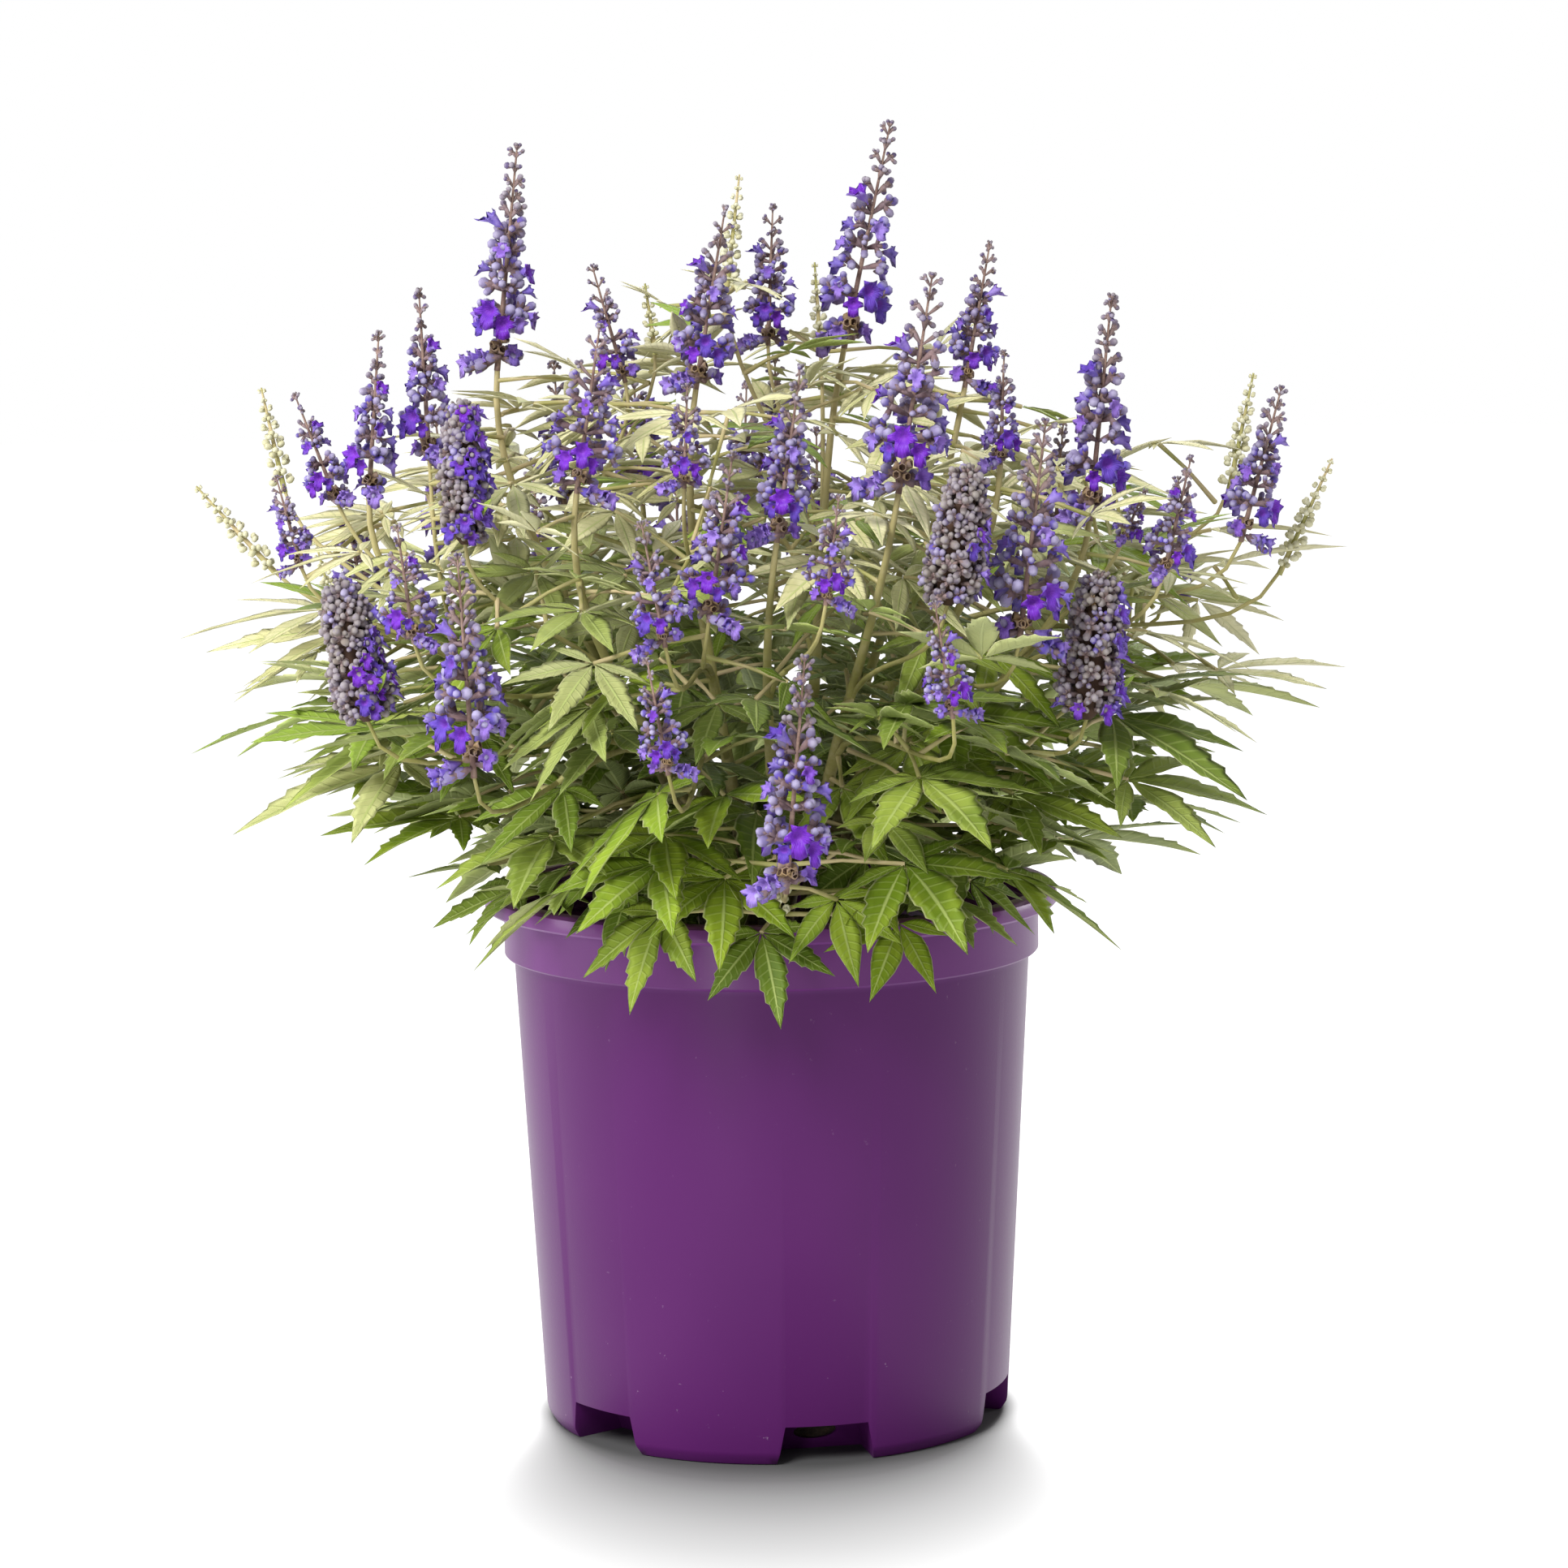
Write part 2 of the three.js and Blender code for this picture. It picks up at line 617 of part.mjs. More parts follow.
// A leaf is one thin blade with its stalk: both faces share the outline, and each leaflet has a raised rib.
function leafSolid(leaf) {
  const shell = new Shell();
  const leaflets = leaf.size > FIVE_LEAFLETS_FROM ? FIVE_LEAFLETS : THREE_LEAFLETS;
  const nearHub = (degrees, distance) => {
    const turn = THREE.MathUtils.degToRad(degrees);
    return shell.point(
      sum([leaf.hub, 1], [leaf.forward, distance * Math.cos(turn)], [leaf.left, distance * Math.sin(turn)]),
    );
  };
  const hubTop = shell.point(sum([leaf.hub, 1], [leaf.up, LEAF_HALF_THICKNESS]));
  const hubBottom = shell.point(sum([leaf.hub, 1], [leaf.up, -LEAF_HALF_THICKNESS]));
  const rightOfStalk = nearHub(-150, 2);
  const leftOfStalk = nearHub(150, 2);
  let notch = rightOfStalk;
  leaflets.forEach((leaflet, i) => {
    const [degrees, share] = leaflet;
    const half = HALF_WIDTH_SHARE * leaf.size * share;
    const outline = [notch];
    outline.push(shell.point(onLeaflet(leaf, leaflet, BROADEST_AT, -half)));
    const toothed = share > 0.6 && leaf.size > FIVE_LEAFLETS_FROM;
    const toothOnRight = toothed && i % 2 === 0;
    if (toothOnRight) {
      outline.push(shell.point(onLeaflet(leaf, leaflet, TOOTH_AT, -half * TOOTH_OUT)));
      outline.push(shell.point(onLeaflet(leaf, leaflet, TOOTH_AT, -half * TOOTH_IN)));
    }
    outline.push(shell.point(onLeaflet(leaf, leaflet, 1, 0)));
    if (toothed && !toothOnRight) {
      outline.push(shell.point(onLeaflet(leaf, leaflet, TOOTH_AT, half * TOOTH_IN)));
      outline.push(shell.point(onLeaflet(leaf, leaflet, TOOTH_AT, half * TOOTH_OUT)));
    }
    outline.push(shell.point(onLeaflet(leaf, leaflet, BROADEST_AT, half)));
    const last = i === leaflets.length - 1;
    notch = last ? leftOfStalk : nearHub((degrees + leaflets[i + 1][0]) / 2, 2.6 + 0.03 * leaf.size);
    outline.push(notch);
    const rib = onLeaflet(leaf, leaflet, BROADEST_AT, 0);
    const ribTop = shell.point(sum([rib, 1], [leaf.up, LEAF_HALF_THICKNESS]));
    const ribBottom = shell.point(sum([rib, 1], [leaf.up, -LEAF_HALF_THICKNESS]));
    shell.face(hubTop, outline[0], ribTop);
    shell.face(hubBottom, ribBottom, outline[0]);
    for (let k = 1; k < outline.length; k++) {
      shell.face(ribTop, outline[k - 1], outline[k]);
      shell.face(ribBottom, outline[k], outline[k - 1]);
    }
    shell.face(hubTop, ribTop, notch);
    shell.face(hubBottom, notch, ribBottom);
  });
  const stalk = sum([leaf.hub, 1], [leaf.root, -1]).normalize();
  const above = new THREE.Vector3().crossVectors(stalk, leaf.left).normalize();
  const beside = new THREE.Vector3().crossVectors(above, stalk);
  const [rootTop, rootRight, rootLeft] = [[0, 1], [-0.87, -0.5], [0.87, -0.5]].map(([b, a]) =>
    shell.point(sum([leaf.root, 1], [beside, b * STALK_RADIUS], [above, a * STALK_RADIUS])),
  );
  shell.face(rootRight, rightOfStalk, hubTop, rootTop);
  shell.face(rootTop, hubTop, leftOfStalk, rootLeft);
  shell.face(rootLeft, leftOfStalk, hubBottom);
  shell.face(rootLeft, hubBottom, rootRight);
  shell.face(rootRight, hubBottom, rightOfStalk);
  shell.face(rootRight, rootTop, rootLeft);
  return shell.solid();
}

// Room: what is already there, as balls. A leaf is placed only where its own balls touch none of them.

const taken = [];

function ballsOfStem(stem) {
  const count = Math.ceil(stem.span / 7);
  return Array.from({ length: count + 1 }, (_, i) => {
    const t = i / count;
    return [pointAt(stem, t), radiusAt(stem, t) + 1.5];
  });
}

function ballsOfSpike(place, outline) {
  const axis = spikeAxis(place);
  const count = Math.ceil(axis.length / 6);
  return Array.from({ length: count + 1 }, (_, i) => {
    const share = 0.08 + (0.92 * i) / count;
    const centre = sum([axis.foot, 1], [axis.direction, share * axis.length]);
    return [centre, axis.halfWidth * along(outline, share)];
  });
}

// The first stretch of a stalk isn't tested, because it starts inside its stem.
const STALK_FREE = 9;
const STALK_CLEARANCE = 2.2;
const BLADE_CLEARANCE = 3.8;
const RIB_BALLS = [0.16, 0.29, 0.72, 0.86, 1];
const BROAD_BALLS = [0.43, 0.58];

function ballsOfLeaf(leaf) {
  const balls = [];
  const stalkLength = leaf.root.distanceTo(leaf.hub);
  for (let far = STALK_FREE; far < stalkLength; far += 7) {
    const share = far / stalkLength;
    balls.push([sum([leaf.root, 1 - share], [leaf.hub, share]), STALK_CLEARANCE]);
  }
  for (const leaflet of FIVE_LEAFLETS) {
    const half = HALF_WIDTH_SHARE * leaf.size * leaflet[1];
    for (const far of RIB_BALLS) {
      balls.push([onLeaflet(leaf, leaflet, far, 0), BLADE_CLEARANCE]);
    }
    for (const far of BROAD_BALLS) {
      balls.push([onLeaflet(leaf, leaflet, far, -half * 0.6), BLADE_CLEARANCE]);
      balls.push([onLeaflet(leaf, leaflet, far, half * 0.6), BLADE_CLEARANCE]);
    }
  }
  return balls;
}

function clearOfPot(place, radius) {
  if (place.z > RIM_HEIGHT + radius) return true;
  const reach = Math.hypot(place.x, place.y);
  if (reach > RIM_RADIUS + radius) return true;
  return reach < COLLAR_RADIUS - POT_WALL - radius && place.z > SOIL_EDGE_HEIGHT + SOIL_MOUND + radius;
}

function isFree(balls) {
  for (const [place, radius] of balls) {
    if (!clearOfPot(place, radius) || Math.hypot(place.x, place.y) > WIDEST_REACH) return false;
    for (const [other, otherRadius] of taken) {
      const near = radius + otherRadius;
      if (place.distanceToSquared(other) < near * near) return false;
    }
  }
  return true;
}

// Growth

// The ways in which a leaf's hub may move to find room: [degrees round, mm up]
const HUB_SHIFTS = [
  [0, 0],
  [5, 6],
  [-5, 6],
  [4, -7],
  [-4, -7],
  [9, 0],
  [-9, 0],
  [0, 14],
  [0, -14],
  [13, 8],
  [-13, 8],
  [0, 24],
  [0, -22],
];

// The ways in which it may then be turned, and tilted and shrunk
const LEAF_TURNS = [0, 16, -16, 32, -32];
const LEAF_TILTS = [[0, 1], [12, 0.94], [-12, 0.94], [0, 0.82]];

// The places where a leaf at a hub could grow from: the nearest ones on each shoot, not above the hub
function rootsFor(hub) {
  const roots = [];
  for (const stem of stems) {
    for (const carrier of stem.shoots) {
      let best = null;
      const count = Math.ceil(carrier.span / 6);
      for (let i = 1; i < count; i++) {
        const place = pointAt(carrier, i / count);
        const distance = place.distanceTo(hub);
        const fits = distance > STALK_LENGTHS[0] && distance < STALK_LENGTHS[1] && place.z < hub.z + 12;
        if (fits && (!best || distance < best.distance)) best = { stem, place, distance };
      }
      if (best) roots.push(best);
    }
  }
  return roots.sort((a, b) => a.distance - b.distance).slice(0, 4);
}

// A leaf held out from a hub in a direction. The first way of holding it that is free is used.
function growLeaf(azimuth, reach, height, size) {
  const sideways = Math.sin(THREE.MathUtils.degToRad(azimuth)) ** 2;
  const held = along(LEAF_DROOPS, height) * (1 - SIDE_LIFT * sideways);
  const droop = held + random(-UNRULY_HANG, UNRULY_HANG);
  const roll = random(-UNRULY_ROLL, UNRULY_ROLL);
  const swing = random(-UNRULY_TURN, UNRULY_TURN);
  for (const [shift, rise] of HUB_SHIFTS) {
    const hub = around(azimuth + shift, reach, height + rise);
    for (const { stem, place } of rootsFor(hub)) {
      for (const turn of LEAF_TURNS) {
        for (const [tilt, share] of LEAF_TILTS) {
          const level = around(azimuth + swing + turn, 1, 0);
          const hang = THREE.MathUtils.degToRad(droop + tilt);
          const forward = sum([level, Math.cos(hang)], [UP, -Math.sin(hang)]);
          const up = sum([level, Math.sin(hang)], [UP, Math.cos(hang)]);
          up.applyAxisAngle(forward, THREE.MathUtils.degToRad(roll));
          const left = new THREE.Vector3().crossVectors(up, forward);
          const leaf = { root: place, hub, forward, left, up, size: size * share };
          const balls = ballsOfLeaf(leaf);
          if (!isFree(balls)) continue;
          taken.push(...balls);
          stem.leaves.push(leaf);
          return;
        }
      }
    }
  }
}

function mainStem(plan) {
  const root = around(plan.azimuth, plan.reach, STEM_COLLAR_HEIGHT);
  const axis = spikeAxis(plan.flowers[0]);
  const end = sum([axis.foot, 1], [axis.direction, -GAP]);
  const outward = around(plan.azimuth, 0.25, 1).normalize();
  const radii = [MAIN_FOOT_RADIUS, MAIN_TIP_RADIUS];
  return shoot(root, outward, end, axis.direction, radii, MAIN_SIDES, MAIN_STEPS);
}

function sideShoot(main, end, arrive) {
  const top = main.centres[main.centres.length - 1].z;
  const low = THREE.MathUtils.clamp((end.z - STEM_COLLAR_HEIGHT) / (top - STEM_COLLAR_HEIGHT), 0, 1);
  const t = THREE.MathUtils.clamp(0.08 + 0.52 * low + random(-0.03, 0.03), LOWEST_FORK, HIGHEST_FORK);
  const root = pointAt(main, t);
  const towards = sum([end, 1], [root, -1]).normalize();
  const setOff = sum([directionAt(main, t), 0.45], [towards, 0.55], [UP, 0.25]).normalize();
  const radii = [radiusAt(main, t) * FORK_SHARE, SIDE_TIP_RADIUS];
  return shoot(root, setOff, end, arrive, radii, SIDE_SHOOT_SIDES, SIDE_SHOOT_STEPS);
}

const stems = LEAFY_STEMS.map((plan) => {
  const main = mainStem(plan);
  const side = (place) => {
    const axis = spikeAxis(place);
    const end = sum([axis.foot, 1], [axis.direction, -GAP]);
    return sideShoot(main, end, axis.direction);
  };
  const flowering = [main, ...plan.flowers.slice(1).map(side), ...plan.cones.map(side)];
  const budding = plan.buds.map(side);
  return { plan, main, shoots: [...flowering, ...budding], leaves: [] };
});

for (const { plan, shoots } of stems) {
  for (const stem of shoots) taken.push(...ballsOfStem(stem));
  for (const place of plan.flowers) taken.push(...ballsOfSpike(place, SPIKE_OUTLINE));
  for (const place of plan.cones) taken.push(...ballsOfSpike(place, CONE_OUTLINE));
  for (const place of plan.buds) taken.push(...ballsOfSpike(place, BUD_SPIKE_OUTLINE));
}

for (const [x, y, height, size] of FRONT_LEAVES) {
  growLeaf(THREE.MathUtils.radToDeg(Math.atan2(x, -y)), Math.hypot(x, y), height, size);
}
for (const [height, reach, count] of LEAF_TIERS) {
  const pitch = (LAST_TIER_AZIMUTH - FIRST_TIER_AZIMUTH) / count;
  for (let i = 0; i < count; i++) {
    const azimuth = FIRST_TIER_AZIMUTH + (i + random(0.2, 0.8)) * pitch;
    const size = along(LEAF_SIZES, height) * random(0.92, 1.06);
    growLeaf(azimuth, reach + random(-10, 6), height + random(-8, 8), size);
  }
}

// The object

const MATERIALS = {
  pot: new THREE.MeshStandardMaterial({ color: 0x5b2170, roughness: 0.4, metalness: 0 }),
  soil: new THREE.MeshStandardMaterial({ color: 0x2b2019, roughness: 1, metalness: 0 }),
  leafyStem: new THREE.MeshStandardMaterial({ color: 0x5f8a34, roughness: 0.6, metalness: 0 }),
  flower: new THREE.MeshStandardMaterial({ color: 0x5a3fc4, roughness: 0.6, metalness: 0 }),
};

const object = new THREE.Group();

function addNode(name, solid, material) {
  const mesh = new THREE.Mesh(geometryOf(solid), material);
  mesh.name = name;
  object.add(mesh);
}

function numbered(word, number) {
  return `${word}_${String(number).padStart(2, "0")}`;
}

// A main stem goes straight down into the mix from its first ring.
function footRing([first], height) {
  return first.map((p) => new THREE.Vector3(p.x, p.y, height));
}

function stemHole(stem) {
  const rings = stemRings(stem, GAP);
  return tube([footRing(rings, STEM_FOOT_HEIGHT - GAP), rings[0]]);
}

addNode("pot", pot(), MATERIALS.pot);
addNode("soil", soil(stems.map(({ main }) => stemHole(main))), MATERIALS.soil);

let spikeNumber = 0;
function addSpike(solid) {
  spikeNumber += 1;
  addNode(numbered("flower_spike", spikeNumber), solid, MATERIALS.flower);
}

stems.forEach((stem, index) => {
  const { plan, main, shoots, leaves } = stem;
  const mainRings = stemRings(main, 0);
  const sideShoots = shoots.slice(1);
  const pieces = [tube([footRing(mainRings, STEM_FOOT_HEIGHT), ...mainRings])];
  pieces.push(...sideShoots.map((side) => tube(stemRings(side, 0))));
  for (const place of plan.buds) {
    const sunk = spikeAxis(place);
    const foot = sum([sunk.foot, 1], [sunk.direction, -BUD_SPIKE_ROOT]);
    const sunkPlace = [foot.x, foot.y, foot.z, place[3] + BUD_SPIKE_ROOT, place[4], place[5]];
    pieces.push(spike(sunkPlace, BUD_SPIKE_OUTLINE, BUD_SPIKE_WHORLS, 0));
  }
  pieces.push(...leaves.map(leafSolid));
  addNode(numbered("leafy_stem", index + 1), wasm.Manifold.union(pieces), MATERIALS.leafyStem);
  for (const place of plan.flowers) addSpike(spike(place, SPIKE_OUTLINE, whorlsFor(place[3]), FLOWER_SHARE));
  for (const place of plan.cones) addSpike(cone(place));
});

export default object;
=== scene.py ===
"""A young chaste tree in flower, standing in a moulded plastic nursery pot.

Metres, +Z up, the seen side towards -Y. The shrub is worked out in millimetres and its meshes are
scaled to metres when they are made.
"""

import math
from contextlib import contextmanager

import bmesh
import bpy
import numpy as np
from mathutils import Matrix, Vector, noise


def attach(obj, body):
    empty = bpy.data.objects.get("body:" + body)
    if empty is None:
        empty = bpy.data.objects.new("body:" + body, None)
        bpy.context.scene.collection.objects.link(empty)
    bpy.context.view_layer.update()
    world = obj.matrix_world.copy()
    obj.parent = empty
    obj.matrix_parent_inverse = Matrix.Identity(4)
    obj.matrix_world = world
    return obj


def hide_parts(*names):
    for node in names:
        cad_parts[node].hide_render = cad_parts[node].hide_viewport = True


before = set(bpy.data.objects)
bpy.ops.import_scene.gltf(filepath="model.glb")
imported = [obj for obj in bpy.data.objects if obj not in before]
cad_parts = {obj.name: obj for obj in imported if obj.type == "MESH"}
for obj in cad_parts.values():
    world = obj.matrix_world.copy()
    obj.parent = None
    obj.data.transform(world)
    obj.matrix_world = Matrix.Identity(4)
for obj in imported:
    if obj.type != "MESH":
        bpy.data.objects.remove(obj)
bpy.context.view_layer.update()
MM = 0.001


# The view
# A long lens above the pot looks slightly down at the plant, as in a catalogue picture. A white
# floor runs into a white sky under wide soft lamps, and a short shadow before the pot is painted on it.

scene = bpy.context.scene
scene.view_settings.view_transform = "Standard"


def linked(name, data):
    """A new object in the scene."""
    made = bpy.data.objects.new(name, data)
    scene.collection.objects.link(made)
    return made


camera = bpy.data.cameras.new("camera")
camera.lens = 111.8
camera.sensor_width = 36
camera.clip_end = 50
camera_object = linked("camera", camera)
LOOK_DOWN = 0.123
ROLL = -0.013
camera_object.matrix_world = (
    Matrix.Translation((0.0067, -2.227, 0.569))
    @ Matrix.Rotation(math.pi / 2 - LOOK_DOWN, 4, "X")
    @ Matrix.Rotation(ROLL, 4, "Z")
)
scene.camera = camera_object


def lamp(name, place, size, power, aim=(0, 0, 0.3)):
    light = bpy.data.lights.new(name, "AREA")
    light.size = size
    light.energy = power
    lamp_object = linked(name, light)
    lamp_object.location = place
    lamp_object.rotation_euler = (Vector(aim) - Vector(place)).to_track_quat("-Z", "Y").to_euler()


lamp("key_lamp", (-1.0, -1.9, 2.1), 1.1, 88)
lamp("fill_lamp", (1.7, -1.4, 1.3), 1.5, 4)
lamp("back_lamp", (0.3, 1.6, 1.6), 1.6, 26)
lamp("left_strip", (-1.6, -0.2, 0.5), 0.7, 14)
lamp("right_strip", (1.7, 0.9, 0.45), 0.4, 9)
lamp("low_strip", (-0.65, -1.7, 0.1), 0.25, 5, (0, 0, 0.12))

world = bpy.data.worlds.new("white_sky")
world.use_nodes = True
sky = world.node_tree.nodes["Background"]
sky.inputs["Color"].default_value = (1, 1, 1, 1)
# The sky is seen as white, but lights the plant less than that, so that its depths stay dark.
seen = world.node_tree.nodes.new("ShaderNodeLightPath")
strength = world.node_tree.nodes.new("ShaderNodeMapRange")
strength.inputs["To Min"].default_value = 0.23
world.node_tree.links.new(seen.outputs["Is Camera Ray"], strength.inputs["Value"])
world.node_tree.links.new(strength.outputs["Result"], sky.inputs["Strength"])
scene.world = world


class Field:
    """A value that changes over a surface, so that shader maths is written as sums on it."""

    def __init__(self, finish, socket):
        self.finish = finish
        self.socket = socket

    def maths(self, operation, *terms):
        return self.finish.node("ShaderNodeMath", {"operation": operation}, terms)

    def __add__(self, other):
        return self.maths("ADD", self, other)

    def __sub__(self, other):
        return self.maths("SUBTRACT", self, other)

    def __rsub__(self, other):
        return self.maths("SUBTRACT", other, self)

    def __mul__(self, other):
        return self.maths("MULTIPLY", self, other)

    def __truediv__(self, other):
        return self.maths("DIVIDE", self, other)

    def __pow__(self, other):
        return self.maths("POWER", self, other)

    def __gt__(self, other):
        return self.maths("GREATER_THAN", self, other)

    __radd__ = __add__
    __rmul__ = __mul__

    def size(self):
        return self.maths("ABSOLUTE", self)

    def most(self, other):
        return self.maths("MAXIMUM", self, other)

    def fraction(self):
        return self.maths("FRACT", self)

    def between(self, low, high):
        """0 at low and 1 at high, easing in and out."""
        settings = {"interpolation_type": "SMOOTHSTEP"}
        return self.finish.node("ShaderNodeMapRange", settings, [self, low, high, 0.0, 1.0])


class Finish:
    """A material, with its Principled surface and one way to add any node to it."""

    def __init__(self, name, roughness=0.5, **set_values):
        self.material = bpy.data.materials.new(name)
        self.material.use_nodes = True
        self.tree = self.material.node_tree
        self.surface = self.tree.nodes["Principled BSDF"]
        self.put("Roughness", roughness)
        for socket, value in set_values.items():
            self.put(socket.replace("_", " "), value)

    def put(self, socket, value):
        """Links or sets one socket of the surface."""
        self.fill(self.surface.inputs[socket], value)

    def fill(self, socket, value):
        if isinstance(value, Field):
            self.tree.links.new(value.socket, socket)
        elif isinstance(value, tuple) and len(value) == 3 and socket.type == "RGBA":
            socket.default_value = (*value, 1)
        else:
            socket.default_value = value

    def node(self, kind, settings=None, values=(), output=0):
        """Adds a node. Values are given in order, or by socket number or name."""
        made = self.tree.nodes.new(kind)
        for setting, value in (settings or {}).items():
            if setting == "stops":
                while len(made.color_ramp.elements) < len(value):
                    made.color_ramp.elements.new(0.5)
                for element, (place, colour) in zip(made.color_ramp.elements, value):
                    element.position = place
                    element.color = (*colour, 1)
            else:
                setattr(made, setting, value)
        pairs = values.items() if isinstance(values, dict) else enumerate(values)
        for socket, value in pairs:
            self.fill(made.inputs[socket], value)
        return Field(self, made.outputs[output])

    def place(self):
        return self.node("ShaderNodeTexCoord", output="Object")

    def on_copy(self):
        """The place on the copied shape, which its UV map holds."""
        return self.node("ShaderNodeUVMap", {"uv_map": "UVMap"})

    def one_way(self, place, axis):
        return self.node("ShaderNodeSeparateXYZ", None, [place], axis)

    def attribute(self, name):
        return self.node("ShaderNodeAttribute", {"attribute_name": name}, output="Fac")

    def noise(self, scale, detail=3.0, roughness=0.55):
        values = {"Vector": self.place(), "Scale": scale, "Detail": detail, "Roughness": roughness}
        return self.node("ShaderNodeTexNoise", None, values, "Fac")

    def ramp(self, share, *stops):
        return self.node("ShaderNodeValToRGB", {"stops": stops}, [share], "Color")

    def bump(self, height, distance, strength=1.0):
        values = {"Height": height, "Distance": distance, "Strength": strength}
        self.put("Normal", self.node("ShaderNodeBump", None, values, "Normal"))


def blend(share, first, second):
    """The first colour where the share is 0, and the second where it is 1."""
    return share.finish.node("ShaderNodeMix", {"data_type": "RGBA"}, {0: share, 6: first, 7: second}, 2)


def alone(thing=None):
    """Leaves only this object selected and active, or none."""
    bpy.ops.object.select_all(action="DESELECT")
    if thing:
        thing.select_set(True)
        bpy.context.view_layer.objects.active = thing


@contextmanager
def editing():
    """Edit mode on the active mesh, with all of it selected."""
    bpy.ops.object.mode_set(mode="EDIT")
    bpy.ops.mesh.select_all(action="SELECT")
    yield
    bpy.ops.object.mode_set(mode="OBJECT")


alone()
bpy.ops.mesh.primitive_circle_add(vertices=96, radius=9, fill_type="NGON")
floor = bpy.context.object
floor.name = "floor"
floor_finish = Finish("white_floor", 0.9)
# Painted shadow: the floor glows white by its own emission, dimmed round the pot's foot and furthest out
# towards the front.
across = floor_finish.one_way(floor_finish.place(), "X")
towards = floor_finish.one_way(floor_finish.place(), "Y")
radius = (across * across + towards * towards) ** 0.5
ahead = (towards * -1 / radius).most(0.0)
POT_FOOT = 0.104
SHADOW_FOCUS = 3.2
SIDE_SHADOW = 0.04
from_foot = (radius - POT_FOOT) / (ahead**SHADOW_FOCUS + SIDE_SHADOW)
PAINTED_SHADOW_GLOW = [[0.028, 0.0], [0.053, 0.15], [0.095, 0.36], [0.135, 0.53], [0.176, 0.73], [0.25, 1.0]]
painted_shadow_glow = floor_finish.ramp(from_foot, *[(far, (light, light, light)) for far, light in PAINTED_SHADOW_GLOW])
floor_finish.put("Emission Color", painted_shadow_glow)
mottled = blend(floor_finish.noise(3.0), (0.19, 0.19, 0.19), (0.21, 0.21, 0.21))
# The base colour is darker right at the foot: a painted contact shadow.
floor_finish.put("Base Color", blend(from_foot.between(0.0, 0.035), (0.08, 0.08, 0.08), mottled))
floor_finish.put("Emission Strength", 1.0)
floor.data.materials.append(floor_finish.material)


# The pot
# One piece of injection-moulded plastic: a tapering wall with a collar and a flat rolled rim, fine
# rings inside the mouth, and six wedge-shaped drain pockets round the foot, each with an oval hole.

POT_WALL = 2.2
POT_FLOOR = 3.0
RIM_RADIUS = 132.0
RIM_HEIGHT = 247.0
MOUTH_RADIUS = 121.1
COLLAR_RADIUS = 123.3
POT_SEGMENTS = 160
POCKETS = 6
FIRST_POCKET = 12.0
POCKET_HEIGHT = 18.0
POCKET_TOP_HALF = 19.0
POCKET_FOOT_HALF = 22.5
POCKET_TOP_REACH = 86.0
POCKET_FOOT_REACH = 76.0
HOLE_HALF_WIDTH = 10
HOLE_HALF_HEIGHT = 4
HOLE_REACH = 81


def turned_solid(name, profile, segments=POT_SEGMENTS):
    """Pulls a round blank up ring by ring through [radius, height], in millimetres, and closes it."""
    alone()
    radius, height = profile[0]
    bpy.ops.mesh.primitive_circle_add(
        vertices=segments, radius=radius * MM, fill_type="NGON", location=(0, 0, height * MM)
    )
    made = bpy.context.object
    made.name = name
    bpy.ops.object.transform_apply(location=True)
    with editing():
        for next_radius, next_height in profile[1:]:
            rise = (next_height - height) * MM
            grow = next_radius / radius
            bpy.ops.mesh.extrude_region_move(TRANSFORM_OT_translate={"value": (0, 0, rise)})
            bpy.ops.transform.resize(value=(grow, grow, 1))
            radius, height = next_radius, next_height
        bpy.ops.mesh.select_all(action="SELECT")
        bpy.ops.mesh.normals_make_consistent(inside=False)
    return made


def cut(body, cutter):
    """Cuts one solid out of another, and is rid of it."""
    modifier = body.modifiers.new("cut", "BOOLEAN")
    modifier.object = cutter
    modifier.operation = "DIFFERENCE"
    modifier.solver = "EXACT"
    alone(body)
    bpy.ops.object.modifier_apply(modifier=modifier.name)
    bpy.data.objects.remove(cutter)


def one_of(things):
    """Joins things into one object."""
    alone(things[0])
    for thing in things:
        thing.select_set(True)
    bpy.ops.object.join()
    return bpy.context.object


def round_the_foot(make, *sizes):
    """One shape for each drain pocket, turned to its place, all in one object."""
    shapes = []
    for i in range(POCKETS):
        alone()
        shape = make(*sizes)
        shape.data.transform(Matrix.Rotation(math.radians(FIRST_POCKET + i * 360 / POCKETS), 4, "Z"))
        shapes.append(shape)
    return one_of(shapes)


def pocket_wedge(grown):
    """A wedge at the front of the foot, larger by the wall where it shapes the inside."""
    bpy.ops.mesh.primitive_cube_add(size=2)
    wedge = bpy.context.object
    for corner in wedge.data.vertices:
        top = corner.co.z > 0
        half_width = (POCKET_TOP_HALF if top else POCKET_FOOT_HALF) + grown
        depth = (POCKET_TOP_REACH if top else POCKET_FOOT_REACH) - grown
        reach = RIM_RADIUS if corner.co.y < 0 else depth
        height = POCKET_HEIGHT + grown if top else -1.0
        corner.co = (math.copysign(half_width, corner.co.x) * MM, -reach * MM, height * MM)
    return wedge


def drain_hole():
    bpy.ops.mesh.primitive_cylinder_add(vertices=24, radius=1, depth=16 * MM)
    hole = bpy.context.object
    hole.data.transform(Matrix.Diagonal((HOLE_HALF_WIDTH * MM, HOLE_HALF_HEIGHT * MM, 1, 1)))
    hole.data.transform(Matrix.Rotation(math.pi / 2, 4, "X"))
    hole.data.transform(Matrix.Translation((0, -HOLE_REACH * MM, POCKET_HEIGHT / 2 * MM)))
    return hole


def mend(thing):
    """Outward faces, and no doubled points."""
    alone(thing)
    with editing():
        bpy.ops.mesh.remove_doubles(threshold=1e-6)
        bpy.ops.mesh.normals_make_consistent(inside=False)


